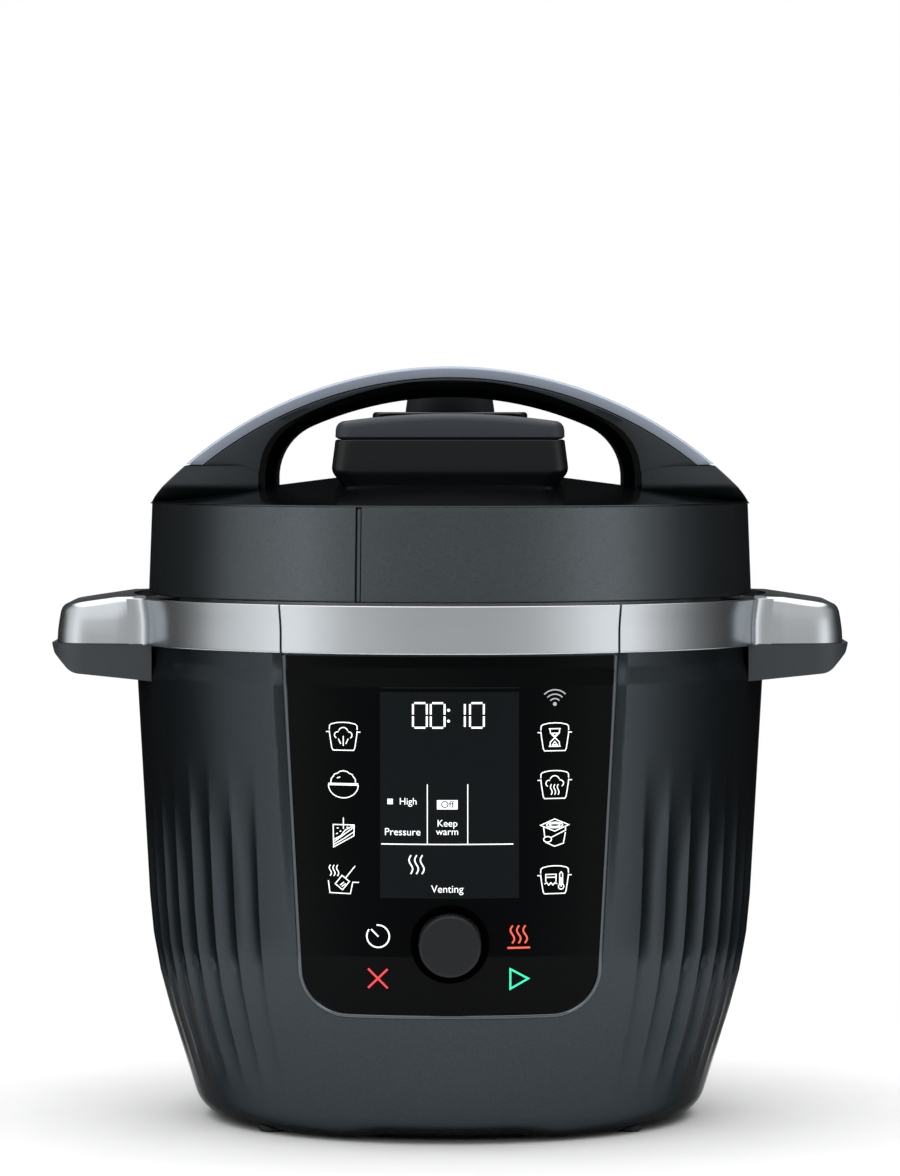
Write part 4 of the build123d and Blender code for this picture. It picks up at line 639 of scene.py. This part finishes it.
# ------------------------------------------------------------------ lid handle
ARC_RISE = ARC_TOP - LID_RIM_Z
ARC_R = ((LID_RIM_R + 0.2) ** 2 + ARC_RISE ** 2) / (2 * ARC_RISE)
ARC_Z = ARC_TOP - ARC_R
CAP_THICK = 4.8
WINDOW_R, WINDOW_Z = ARC_R - 23.0, ARC_Z + 9.9
WINDOW_HALF = LID_RIM_R - 53.9
SEAM_Z = APEX_Z + 1.4
WAIST, ROOT, SPAN = 23.0, 41.0, LID_RIM_R + 2.2


def half_width(x):
    """Half width of the waisted handle seen from above."""
    bow = ROOT - WAIST
    radius = (SPAN * SPAN + bow * bow) / (2 * bow)
    rim = math.sqrt(max((LID_RIM_R - 0.3) ** 2 - x * x, 16.0))
    return min(WAIST + radius - math.sqrt(radius * radius - x * x), rim)


def spread(line, count):
    """count + 1 points evenly along a line."""
    lengths = [0.0]
    for a, b in zip(line, line[1:]):
        lengths.append(lengths[-1] + (b - a).length)
    made, k = [], 0
    for i in range(count + 1):
        want = lengths[-1] * i / count
        while k < len(line) - 2 and lengths[k + 1] < want:
            k += 1
        share = (want - lengths[k]) / max(lengths[k + 1] - lengths[k], 1e-9)
        made.append(line[k] + (line[k + 1] - line[k]) * share)
    return made


def arc_line(radius, centre_z, z_end):
    """Arc over the top, from the left at height z_end to the right."""
    reach = math.acos((z_end - centre_z) / radius)
    return [Vector((radius * math.sin(a), centre_z + radius * math.cos(a)))
            for a in [-reach + 2 * reach * i / 200 for i in range(201)]]


def closed_strip(name, outer, inner, outer_round, inner_round, body, used, replaces):
    """A closed bar between two lines, as wide as the handle is there and rounded along its edges.

    A second material covers the inner band, painted near black as the shade inside the handle's curve.
    """
    mesh = bmesh.new()
    rows = []
    for o, i in zip(outer, inner):
        length = (i - o).length
        down = (i - o) / length
        ro = min(outer_round, 0.45 * length)
        ri = min(inner_round, length - ro - 0.3)
        wo, wi = half_width(o.x), half_width(i.x)
        front = []
        for k in range(5):
            a = math.pi / 2 * k / 4
            front.append((o + down * ro * (1 - math.cos(a)), wo - ro * (1 - math.sin(a))))
        for k in range(7):
            a = math.pi / 2 * k / 6
            front.append((i - down * ri * (1 - math.sin(a)), wi - ri * (1 - math.cos(a))))
        ring = [(p.x, -w, p.y) for p, w in front] + [(p.x, w, p.y) for p, w in reversed(front)]
        rows.append(ring)
    made = skin(mesh, rows)
    mesh.faces.ensure_lookup_table()
    for index, face in enumerate(mesh.faces):
        face.material_index = 1 if len(used) > 1 and 5 <= index % len(rows[0]) <= 17 else 0
    mesh.faces.new(made[0])
    mesh.faces.new(made[-1])
    return piece(name, mesh, body, used, replaces, sharp=40)


STRIP_STEPS = 72
outer = spread(arc_line(ARC_R - CAP_THICK - 0.2, ARC_Z, SEAM_Z + 0.2), STRIP_STEPS)
WINDOW_CORNER = 24.0
corner_z = WINDOW_Z + math.sqrt((WINDOW_R - WINDOW_CORNER) ** 2 - (WINDOW_HALF - WINDOW_CORNER) ** 2)
lean = math.atan2(WINDOW_HALF - WINDOW_CORNER, corner_z - WINDOW_Z)
quarter = [Vector((-WINDOW_HALF + WINDOW_CORNER - WINDOW_CORNER * math.cos(a),
                   corner_z + WINDOW_CORNER * math.sin(a)))
           for a in steps(0.0, math.pi / 2 - lean, 24)]
crown_arc = [Vector((WINDOW_R * math.sin(a), WINDOW_Z + WINDOW_R * math.cos(a)))
             for a in steps(-lean, lean, 80)]
left_side = [Vector((-WINDOW_HALF, SEAM_Z + 0.2))] + quarter
inner_path = left_side + crown_arc + [Vector((-p.x, p.y)) for p in reversed(left_side)]
inner = spread(inner_path, STRIP_STEPS)
# The inner bands of the arch and its roots take the near-black painted shade.
closed_strip("handle_arch", outer, inner, 0.6, 7.5, "lid", (SLATE, GLOSS_PAINTED_SHADE), ["lid_handle"])
outer = spread(arc_line(ARC_R, ARC_Z, SEAM_Z + 0.5), STRIP_STEPS)
inner = spread(arc_line(ARC_R - CAP_THICK, ARC_Z, SEAM_Z + 0.3), STRIP_STEPS)
closed_strip("handle_cap_skin", outer, inner, 1.3, 0.4, "lid", (CAP,), ["handle_cap"])
for name, side in SIDE.items():
    out_line = [p for p in arc_line(ARC_R - 0.1, ARC_Z, LID_RIM_Z - 1) if p.x > 0 and p.y < SEAM_Z]
    out_line = [Vector((p.x * side, p.y)) for p in out_line]
    in_line = [Vector((side * WINDOW_HALF, SEAM_Z)), Vector((side * WINDOW_HALF, LID_RIM_Z - 1))]
    closed_strip("handle_root_%s_skin" % name, spread(out_line, 16), spread(in_line, 16), 0.9, 7.5, "lid",
                 (SLATE, GLOSS_PAINTED_SHADE), ["handle_root_" + name])


def dome_z(x, y):
    """Height of the lid's dome above a point in plan."""
    return LID_RIM_Z + DOME_RISE * (LID_RIM_R - math.hypot(x, y)) / (LID_RIM_R - CROWN_R)


# Skirts that carry the handle's roots down on to the dome
for name, side in SIDE.items():
    mesh = bmesh.new()
    for face_side in (-1, 1):
        rows = []
        for i in range(17):
            x = 81.0 + 41.5 * i / 16
            crease = SEAM_Z - 12.0 - 4.6 * i / 16
            wide = half_width(x)
            foot = min(wide + 6.5, math.sqrt((LID_RIM_R - 0.4) ** 2 - x * x))
            rows.append([(side * x, face_side * (wide - 2.0), crease),
                         (side * x, face_side * (wide + 0.15), crease),
                         (side * x, face_side * foot, dome_z(x, foot) - 0.2),
                         (side * x, face_side * (wide - 2.0), dome_z(x, wide) - 1.5)])
        made = skin(mesh, rows)
        mesh.faces.new(made[0])
        mesh.faces.new(made[-1])
    piece("handle_skirt_" + name, mesh, "lid", SLATE)

# ------------------------------------------------------------------ steam housing and its cap
def rounded_plan(x_half, front, back, corner, turn=9.0):
    """Rounded rectangle in plan, anticlockwise, from the middle of the front, alike front and back."""
    points = [(0, front), (x_half, front), (x_half, back), (-x_half, back), (-x_half, front)]
    return rounded(points, {1: corner, 2: corner, 3: corner, 4: corner}, step=4.0, closed=True, turn=turn)


mesh = bmesh.new()
profile = rounded([(44.7, 262.0), (44.7, 270.6), (HOUSING_HALF, 276.8), (HOUSING_HALF - 1.7, HOUSING_SEAM),
                   (HOUSING_HALF - 4.2, HOUSING_SEAM), (HOUSING_HALF - 5.0, 271.0),
                   (41.0, 266.0), (41.0, 262.0)],
                  {1: 3.0, 2: 5.0, 3: 0.7}, step=3.0, turn=12.0)
loops = [[(p.x, p.y, wall.y) for p in rounded_plan(wall.x, HOUSING_FRONT + (HOUSING_HALF - wall.x) * 0.35,
                                                   HOUSING_BACK - (HOUSING_HALF - wall.x) * 0.35, 7.0)]
         for wall in profile]
loops = [[tuple(q) for q in spread([Vector(p) for p in l + [l[0]]], 120)][:-1] for l in loops]
skin(mesh, loops, join_ends=True)
piece("steam_housing_skin", mesh, "lid", HOUSING, ["steam_housing"])

CAP_HALF = HOUSING_HALF - 1.7
crown = high("steam_cap").z
crown_radius = (CAP_HALF ** 2 + 3.7 ** 2) / 7.4


def crown_z(x):
    """Height of the cap's crown, which is an arc from side to side."""
    return crown - crown_radius + math.sqrt(crown_radius ** 2 - x * x)


mesh = bmesh.new()
cap_front = HOUSING_FRONT + 0.6
half_line = spread(rounded([(-CAP_HALF, -47.5), (-CAP_HALF, cap_front), (CAP_HALF, cap_front),
                            (CAP_HALF, -47.5)], {1: 7.0, 2: 7.0}, step=2.0), 60)
plan = half_line + [Vector((p.x, -95.0 - p.y)) for p in reversed(half_line[1:-1])]
loops = []
for shrink, z, drop in (
    (4.0, HOUSING_SEAM + 3.2, 0), (3.4, HOUSING_SEAM + 0.06, 0), (1.2, HOUSING_SEAM + 0.3, 0),
    (0.0, HOUSING_SEAM + 1.2, 0), (0.1, None, 3.2), (0.5, None, 1.7), (1.4, None, 0.6), (2.9, None, 0.0),
):
    loop = inset(plan, shrink)
    loops.append([(p.x, p.y, z if z else crown_z(p.x) - drop) for p in loop])
rows = skin(mesh, loops)
mesh.faces.new(rows[0])
top = rows[-1]
n = len(top)
# The crown is closed in strips from side to side, so that it stays curved
across = 60
for i in range(across):
    if i == 0:
        mesh.faces.new((top[0], top[1], top[n - 1]))
    elif i == across - 1:
        mesh.faces.new((top[i], top[across], top[across + 1]))
    else:
        mesh.faces.new((top[i], top[i + 1], top[n - i - 1], top[n - i]))
piece("steam_cap_skin", mesh, "steam_cover", CAPGREY, ["steam_cap"])


# ------------------------------------------------------------------ springs
def coil(name, node, body, turns, wire):
    """Round-wire spring in a CAD node's place, wound evenly from its lower end up."""
    bottom, top = low(node), high(node)
    middle, radius = (bottom + top) / 2, (top.x - bottom.x) / 2 - wire
    length = top.z - bottom.z
    mesh = bmesh.new()
    rows = []
    for i in range(turns * 20 + 1):
        a = math.pi * i / 10
        out = Vector((math.cos(a), math.sin(a), 0))
        height = bottom.z + wire + (length - 2 * wire) * i / (turns * 20)
        at = Vector((middle.x, middle.y, height)) + out * radius
        rows.append([at + out * (wire * math.cos(b)) + Vector((0, 0, wire * math.sin(b)))
                     for b in steps(0, 2 * math.pi, 8)])
    made = skin(mesh, rows)
    mesh.faces.new(made[0])
    mesh.faces.new(made[-1])
    spring = piece(name, mesh, body, ZINC, [node], sharp=60)
    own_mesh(spring)


coil("release_spring_coil", "release_spring", "lid", 5, 0.7)
coil("sensor_spring_coil", "sensor_spring", "base", 4, 0.5)

# ------------------------------------------------------------------ control panel
def on_glass(x, z, off):
    """Point in front of the body's plain surface by off."""
    r = body_radius(z) + off
    return (x, -math.sqrt(max(r * r - x * x, 1.0)), z)


def glass_half(z, margin=0.0):
    """Half width of the panel with its corners."""
    r = PANEL_CORNER + margin
    rise = PANEL_LOW + PANEL_CORNER - z
    if rise > 0:
        return panel_half(z) - PANEL_CORNER + math.sqrt(max(r * r - rise * rise, 0))
    return panel_half(z) + margin


mesh = bmesh.new()
heights = [PANEL_LOW + PANEL_CORNER * (1 - math.cos(math.pi / 2 * i / 12)) for i in range(12)]
heights += [PANEL_LOW + PANEL_CORNER + (PANEL_HIGH - PANEL_LOW - PANEL_CORNER) * i / 60 for i in range(61)]
shares = [-1 + 2 * i / 60 for i in range(61)]
front_rows = [[on_glass(s * glass_half(z), z, 0.5) for s in shares] for z in heights]
back_rows = [[on_glass(s * glass_half(z), z, -1.0) for s in shares] for z in heights]
rows_f = skin(mesh, front_rows, wrap=False)
rows_b = skin(mesh, back_rows, wrap=False)
DIAL_HOLE = DIAL_R + 1.6


def from_dial(vert):
    """Where a vertex lies from the dial's axis in the front view."""
    return Vector((vert.co.x, vert.co.z - DIAL_Z))


def rim(rows):
    """Outer vertices of a grid, in order round it."""
    return (rows[0] + [r[-1] for r in rows[1:]] + list(reversed(rows[-1][:-1]))
            + [r[0] for r in reversed(rows[1:-1])])


edge_f, edge_b = rim(rows_f), rim(rows_b)
for i in range(len(edge_f)):
    j = (i + 1) % len(edge_f)
    mesh.faces.new((edge_f[i], edge_f[j], edge_b[j], edge_b[i]))
covered = [v for v in mesh.verts if from_dial(v).length < DIAL_HOLE - 0.1]
bmesh.ops.delete(mesh, geom=covered, context="VERTS")
for edge in [e for e in mesh.edges if len(e.link_faces) == 1]:
    for v in edge.verts:
        on = from_dial(v).normalized() * DIAL_HOLE
        side = 0.5 if (v.co - Vector(on_glass(v.co.x, v.co.z, 0.5))).length < 0.5 else -1.0
        v.co = on_glass(on.x, DIAL_Z + on.y, side)
piece("panel_glass_skin", mesh, "base", GLASS, ["control_glass"])


def frame_path(margin):
    """Panel outline from the top left down, round and up to the top right, grown by margin."""
    r = PANEL_CORNER + margin
    straight = PANEL_HIGH - PANEL_LOW - PANEL_CORNER
    left = [(-panel_half(z) - margin, z) for z in [PANEL_HIGH - straight * i / 40 for i in range(41)]]
    corner_x = panel_half(PANEL_LOW + PANEL_CORNER) - PANEL_CORNER
    arc = [(-corner_x - r * math.cos(a), PANEL_LOW + PANEL_CORNER - r * math.sin(a))
           for a in [math.pi / 2 * i / 16 for i in range(1, 17)]]
    flat = [(-corner_x + 2 * corner_x * i / 20, PANEL_LOW - margin) for i in range(1, 20)]
    right = [(-x, z) for x, z in reversed(left + arc)]
    return left + arc + flat + right


mesh = bmesh.new()
paths = {m: frame_path(m) for m in (0.3, 0.8, 1.4, 1.9)}
section = ((0.3, -1.0), (0.3, 0.8), (0.8, 1.25), (1.4, 1.25), (1.9, 0.6), (1.9, -1.0))
loops = [[on_glass(*paths[m][i], off) for m, off in section] for i in range(len(paths[0.3]))]
rows = skin(mesh, loops)
mesh.faces.new(rows[0])
mesh.faces.new(rows[-1])
piece("panel_bezel_skin", mesh, "base", BEZEL, ["panel_bezel"], sharp=50)

# Marks: strokes in the front view, laid on the glass
STROKE = 0.42


def ribbon(mesh, points, width=STROKE, closed=False, off=0.6):
    """A stroke with square joints along the points, cut short enough to follow the glass."""
    corners = [Vector(p) for p in points]
    line = []
    for a, b in zip(corners, corners[1:] + (corners[:1] if closed else [])):
        line += [a + (b - a) * t for t in steps(0.0, 1.0, max(1, math.ceil((b - a).length / 1.4)))]
    if not closed:
        line.append(corners[-1])
    count = len(line)
    left, right = [], []
    for i, p in enumerate(line):
        a = line[i - 1] if (i > 0 or closed) else p
        b = line[(i + 1) % count] if (i < count - 1 or closed) else p
        d1, d2 = (p - a), (b - p)
        d1 = d1.normalized() if d1.length > 1e-9 else d2.normalized()
        d2 = d2.normalized() if d2.length > 1e-9 else d1
        n1 = Vector((-d1.y, d1.x))
        n2 = Vector((-d2.y, d2.x))
        m = (n1 + n2)
        m = m.normalized() if m.length > 1e-6 else n1
        k = width / 2 / max(m.dot(n1), 0.45)
        cap_back = d1 * 0 if (i > 0 or closed) else -d2 * width * 0.3
        cap_front = d2 * 0 if (i < count - 1 or closed) else d1 * width * 0.3
        left.append(p + m * k + cap_back + cap_front)
        right.append(p - m * k + cap_back + cap_front)
    pairs = range(count if closed else count - 1)
    lv = [mesh.verts.new(on_glass(p.x, p.y, off)) for p in left]
    rv = [mesh.verts.new(on_glass(p.x, p.y, off)) for p in right]
    for i in pairs:
        j = (i + 1) % count
        mesh.faces.new((lv[i], lv[j], rv[j], rv[i]))


def filled(mesh, points, off=0.6):
    """A filled dot on the glass."""
    mesh.faces.new([mesh.verts.new(on_glass(x, z, off)) for x, z in points])


def block(mesh, x_low, z_low, x_high, z_high, off=0.6):
    """A filled rectangle that follows the glass."""
    count = max(2, math.ceil((x_high - x_low) / 1.4))
    across = [x_low + (x_high - x_low) * i / count for i in range(count + 1)]
    rows = (z_low, (z_low + z_high) / 2, z_high)
    skin(mesh, [[on_glass(x, z, off) for x in across] for z in rows], wrap=False)


def circle(x, z, rx, ry=None, start=0, end=360, count=24):
    """Points on a circle, an ellipse or a part of one."""
    ry = ry or rx
    full = end - start >= 360
    return [(x + rx * math.cos(math.radians(a)), z + ry * math.sin(math.radians(a)))
            for a in [start + (end - start) * i / count for i in range(count + (0 if full else 1))]]


def wave(x, z_low, z_high, swing, count=12):
    """One upright curl of steam or heat."""
    return [(x + swing * math.sin(2 * math.pi * i / count), z_low + (z_high - z_low) * i / count)
            for i in range(count + 1)]


# Icons as strokes: points in millimetres from the icon's middle, and whether the stroke closes
POT = [([(-5.7, 2.3), (-5.5, 0.5), (-4.7, -4.6), (-4.2, -5.5), (4.2, -5.5), (4.7, -4.6), (5.5, 0.5),
         (5.7, 2.3)], False),
       ([(-5.7, 3.0), (-5.6, 4.6), (-4.9, 5.2), (-2.6, 5.75), (0, 5.9), (2.6, 5.75), (4.9, 5.2), (5.6, 4.6),
         (5.7, 3.0)], False),
       ([(-6.9, 2.0), (-5.7, 2.0)], False), ([(5.7, 2.0), (6.9, 2.0)], False)]
CLOUD = [(circle(-2.3, 0.7, 1.3, start=240, end=80, count=10), False),
         (circle(0, 1.9, 1.9, start=160, end=20, count=12), False),
         (circle(2.3, 0.7, 1.3, start=100, end=-60, count=10), False)]
ICONS = {
    "steam_pot": POT + CLOUD + [([(0, 0.2), (0, -3.6)], False), ([(-2.0, -0.9), (-1.1, -2.8)], False),
                                ([(2.0, -0.9), (1.1, -2.8)], False)],
    "rice_bowl": [([(-6.0, -0.2), (6.0, -0.2)], False), ([(-6.0, 0.35), (6.0, 0.35)], False),
                  (circle(0, -0.2, 6.1, 5.3, 180, 360, 20), False),
                  ([(-5.1, 0.6), (-5.0, 2.2), (-4.1, 3.3), (-3.6, 4.2), (-2.3, 4.6), (-1.5, 5.3), (0, 5.6),
                    (1.5, 5.3), (2.4, 4.6), (3.6, 4.1), (4.1, 3.2), (4.9, 2.2), (5.0, 0.6)], False),
                  ([(-2.5, 2.6), (-1.4, 3.0)], False)],
    "cake": [([(-4.2, 3.2), (4.4, 3.2), (4.3, -1.2), (-4.0, -6.0)], True),
             ([(-4.1, -4.1), (4.3, 2.3)], False),
             ([(-4.1, -3.0), (-1.0, -1.3), (0.6, 0.9), (4.2, 3.0)], False),
             ([(-4.0, -5.0), (0.4, -2.3), (4.3, 0.4)], False),
             ([(0, 6.0), (0, 1.6)], False), ([(-2.6, 1.8), (-2.1, 1.8)], False),
             ([(-1.4, 0.4), (-1.0, 0.7)], False),
             ([(-2.9, -0.6), (-2.4, -0.3)], False), ([(1.4, 2.2), (1.9, 2.2)], False)],
    "pan": [([(-6.2, -0.4), (-5.6, -5.3), (2.8, -5.5), (3.8, -0.8), (6.2, -0.8)], False),
            ([(-0.6, 1.9), (2.4, -0.5), (-0.4, -4.0), (-3.4, -1.6)], True), ([(1.0, 1.1), (4.7, 5.8)], False),
            ([(-1.3, -2.0), (0.1, -0.9)], False), ([(-0.6, -2.6), (0.8, -1.5)], False),
            (wave(-5.4, 1.7, 6.0, 0.45), False), (wave(-3.9, 1.7, 6.0, 0.45), False),
            (wave(-2.4, 1.7, 6.0, 0.45), False)],
    "hourglass_pot": POT + [([(-2.3, 3.5), (2.3, 3.5)], False), ([(-2.3, -3.7), (2.3, -3.7)], False),
                            ([(-2.0, 3.5), (-1.8, 1.7), (0, -0.1), (-1.8, -1.9), (-2.0, -3.7)], False),
                            ([(2.0, 3.5), (1.8, 1.7), (0, -0.1), (1.8, -1.9), (2.0, -3.7)], False),
                            ([(-1.2, 1.7), (1.2, 1.7), (0, 0.4)], True),
                            ([(-1.0, -3.1), (1.0, -3.1), (0, -1.7)], True)],
    "slow_steam_pot": POT + CLOUD + [(wave(-1.4, -3.9, 0.2, 0.35), False), (wave(0, -3.9, 0.2, 0.35), False),
                                     (wave(1.4, -3.9, 0.2, 0.35), False)],
    "cup": [([(-5.8, 3.1), (0, 5.6), (5.8, 3.1), (0, 0.6)], True), (circle(0, 3.1, 3.3, 1.15), True),
            (circle(0, 3.1, 2.2, 0.6), True),
            ([(-4.5, 2.1), (-4.1, -1.4)], False), ([(-3.5, -4.0), (0, -5.6), (3.6, -4.4), (4.4, 0.0)], False),
            ([(4.4, 1.2), (4.5, 2.1)], False),
            (circle(-2.9, -2.7, 1.6, 1.15), True), ([(-1.5, -2.0), (4.6, 1.0)], False)],
    "probe_pot": POT + [([(-3.6, -0.5), (-3.6, 2.4), (0.6, 2.4), (0.6, -0.5)], False),
                        ([(-3.6, 1.2), (0.6, 1.2)], False),
                        ([(-4.0, -1.4), (-3.1, -1.0), (-2.4, -2.0), (-1.5, -1.0), (-0.7, -2.0), (0.2, -1.0),
                          (1.0, -1.5)], False),
                        ([(2.1, -1.8), (2.1, 2.6), (2.7, 3.3), (3.3, 2.6), (3.3, -1.8)], False),
                        (circle(2.7, -2.7, 1.1), True), ([(2.7, -2.7), (2.7, 1.0)], False)],
}
PLACES = {"steam_pot": (-43.4, 169.7), "rice_bowl": (-43.4, 150.2), "cake": (-43.4, 130.5),
          "pan": (-43.4, 111.0), "hourglass_pot": (42.6, 169.5), "slow_steam_pot": (42.6, 150.0),
          "cup": (42.6, 130.5), "probe_pot": (42.6, 111.0)}
marks = bmesh.new()
for icon, (ix, iz) in PLACES.items():
    for points, closed in ICONS[icon]:
        ribbon(marks, [(ix + x, iz + z) for x, z in points], closed=closed)

# Clock digits of seven bars
CLOCK_Z = 178.8
SEGMENTS = {"0": "abcdef", "1": "bc"}
BARS = {"a": ((-2.0, 5.0), (2.0, 5.0)), "b": ((2.8, 4.4), (2.8, 0.6)), "c": ((2.8, -0.6), (2.8, -4.4)),
        "d": ((-2.0, -5.0), (2.0, -5.0)), "e": ((-2.8, -0.6), (-2.8, -4.4)), "f": ((-2.8, 4.4), (-2.8, 0.6))}
for digit, dx in (("0", -12.2), ("0", -5.0), ("1", 3.2), ("0", 10.9)):
    for bar in SEGMENTS[digit]:
        (x1, z1), (x2, z2) = BARS[bar]
        ribbon(marks, [(dx + x1, CLOCK_Z + z1), (dx + x2, CLOCK_Z + z2)], width=0.8)
for dz in (-2.3, 2.1):
    filled(marks, circle(-0.6, CLOCK_Z + dz, 0.62, count=14))
block(marks, -25.4, 142.5, -23.2, 144.7)
ribbon(marks, [(-9.2, 150.6), (-9.2, 126.4)], 0.38)
ribbon(marks, [(7.2, 150.6), (7.2, 126.4)], 0.38)
ribbon(marks, [(-27.8, 126.2), (25.6, 126.2)], 0.45)
block(marks, -5.3, 140.5, 3.1, 144.3)
for dx in (-2.3, 0.0, 2.3):
    ribbon(marks, wave(-13.6 + dx, 114.2, 121.6, 0.75), 0.55)
ribbon(marks, circle(-29.3, 88.3, 4.6, start=-215, end=95, count=30), 0.6)
ribbon(marks, [(-32.0, 91.0), (-29.3, 88.3)], 0.6)
piece("panel_marks", marks, "base", MARK)

arcs = bmesh.new()
for radius in (2.4, 4.2, 6.0):
    ribbon(arcs, circle(42.6, 182.9, radius, start=135, end=45, count=12), 0.5)
filled(arcs, circle(42.6, 183.1, 0.8, count=14))
piece("panel_signal_mark", arcs, "base", MARK_GREY)
red = bmesh.new()
ribbon(red, [(-33.2, 74.6), (-25.6, 67.0)], 0.8)
ribbon(red, [(-33.2, 67.0), (-25.6, 74.6)], 0.8)
piece("panel_stop_mark", red, "base", MARK_RED)
warm = bmesh.new()
for dx in (-2.6, 0.0, 2.6):
    ribbon(warm, wave(28.0 + dx, 85.6, 92.6, 0.8), 0.7)
ribbon(warm, [(23.6, 83.6), (32.4, 83.6)], 0.8)
piece("panel_warm_mark", warm, "base", MARK_WARM)
green = bmesh.new()
ribbon(green, [(24.6, 74.8), (24.6, 66.6), (31.9, 70.7)], 0.8, closed=True)
piece("panel_start_mark", green, "base", MARK_GREEN)
screen = bmesh.new()
xs = [-28.4 + 56.4 * i / 24 for i in range(25)]
zs = [104.1 + 86.1 * i / 30 for i in range(31)]
skin(screen, [[on_glass(x, z, 0.53) for x in xs] for z in zs], wrap=False)
piece("display_window", screen, "base", SCREEN)


def words(name, text, x, z, size, used, off=0.6):
    """Plain generic words on the panel, turned into a flat mesh."""
    curve = bpy.data.curves.new(name, "FONT")
    curve.body = text
    curve.size = size
    curve.align_x = "CENTER"
    curve.align_y = "CENTER"
    curve.space_line = 0.85
    holder = bpy.data.objects.new(name + "_text", curve)
    bpy.context.scene.collection.objects.link(holder)
    bpy.context.view_layer.update()
    data = bpy.data.meshes.new_from_object(holder.evaluated_get(bpy.context.evaluated_depsgraph_get()))
    bpy.data.objects.remove(holder)
    mesh = bmesh.new()
    mesh.from_mesh(data)
    bpy.data.meshes.remove(data)
    for v in mesh.verts:
        v.co = on_glass(x + v.co.x, z + v.co.y, off)
    return piece(name, mesh, "base", used)


words("word_pressure", "Pressure", -19.3, 131.1, 4.2, MARK)
words("word_high", "High", -17.0, 143.6, 3.9, MARK)
words("word_keep_warm", "Keep\nwarm", -1.1, 133.0, 4.0, MARK)
words("word_off", "Off", -1.1, 142.4, 4.0, INK, off=0.8)
words("word_venting", "Venting", -1.1, 107.8, 4.3, MARK)

# ------------------------------------------------------------------ floor, light and camera
FLOOR_R = 0.36
floor_mesh = bmesh.new()
bmesh.ops.create_circle(floor_mesh, cap_ends=True, segments=128, radius=FLOOR_R)
floor_data = bpy.data.meshes.new("floor")
floor_mesh.to_mesh(floor_data)
floor_mesh.free()
floor = bpy.data.objects.new("floor", floor_data)
floor_data.materials.append(material("floor_pale", "#f7f7f7", 0.7, speckle=(40.0, 0.01)))
bpy.context.scene.collection.objects.link(floor)

# Studio: tall soft boxes at the front left and right, black cloth round the back, a pale ceiling, and a
# white sweep that stands behind the cooker. Light by azimuth in degrees, positive to the right.
# BY_AZIMUTH is near the horizon and HIGHER above it.
BY_AZIMUTH = [(-180, 0.008), (-122, 0.015), (-112, 0.09), (-101, 0.27), (-97, 0.5), (-87, 0.74), (-72, 0.95),
              (-58, 1.18), (-46, 0.86), (-36, 0.62), (-15, 0.48), (15, 0.47), (30, 0.55), (43, 0.8),
              (55, 1.1), (68, 1.12), (74, 0.85), (84, 0.48), (98, 0.17), (112, 0.05), (122, 0.012), (180, 0.008)]
HIGHER = [(-180, 0.01), (-125, 0.02), (-105, 0.5), (-60, 1.1), (-20, 1.0), (0, 0.8), (18, 0.62), (60, 0.7),
          (90, 0.4), (120, 0.02), (180, 0.01)]
CEILING, BELOW, SWEEP = 2.2, 0.2, 1.0
world = bpy.data.worlds.new("studio")
bpy.context.scene.world = world
world.use_nodes = True
tree = world.node_tree


def blend(factor, first, second):
    """Mixes two greys or colour sockets by a factor socket."""
    first, second = [value if isinstance(value, bpy.types.NodeSocket) else (value, value, value, 1.0)
                     for value in (first, second)]
    return add(tree, "Mix", {0: factor, 6: first, 7: second}, data_type="RGBA").outputs[2]


aim = add(tree, "SeparateXYZ", {0: add(tree, "TexCoord").outputs["Generated"]})
flip = add(tree, "Math", {0: aim.outputs["Y"], 1: -1.0}, operation="MULTIPLY")
azimuth = add(tree, "Math", {0: aim.outputs["X"], 1: flip.outputs[0]}, operation="ARCTAN2")
share = add(tree, "MapRange", {"Value": azimuth.outputs[0], "From Min": -math.pi, "From Max": math.pi})


def by_azimuth(stops):
    """Grey light by azimuth."""
    node = add(tree, "ValToRGB", {"Fac": share.outputs[0]})
    node.color_ramp.interpolation = "LINEAR"
    for angle, value in stops[1:-1]:
        node.color_ramp.elements.new((angle + 180) / 360)
    for element, (angle, value) in zip(node.color_ramp.elements, stops):
        element.position = (angle + 180) / 360
        element.color = (value, value, value, 1)
    return node.outputs["Color"]


higher = add(tree, "MapRange", {"Value": aim.outputs["Z"], "From Min": 0.14, "From Max": 0.28})
up = add(tree, "MapRange", {"Value": aim.outputs["Z"], "From Min": 0.62, "From Max": 0.74})
walls = blend(higher.outputs[0], by_azimuth(BY_AZIMUTH), by_azimuth(HIGHER))
down = add(tree, "MapRange", {"Value": aim.outputs["Z"], "From Min": -0.4, "From Max": -0.55})
light = blend(down.outputs[0], blend(up.outputs[0], walls, CEILING), BELOW)
seen = add(tree, "LightPath").outputs["Is Camera Ray"]
background = tree.nodes["Background"]
tree.links.new(blend(seen, light, SWEEP), background.inputs["Color"])
background.inputs["Strength"].default_value = 1.0

camera_data = bpy.data.cameras.new("camera")
camera_data.lens = 160.7
camera_data.sensor_width = 36.0
camera_data.dof.use_dof = False
camera = bpy.data.objects.new("camera", camera_data)
camera.location = (0, -2.257, 0.3016)
camera.rotation_euler = (math.radians(90 - 1.92), 0, 0)
bpy.context.scene.collection.objects.link(camera)
bpy.context.scene.camera = camera
bpy.context.scene.view_settings.view_transform = "Standard"
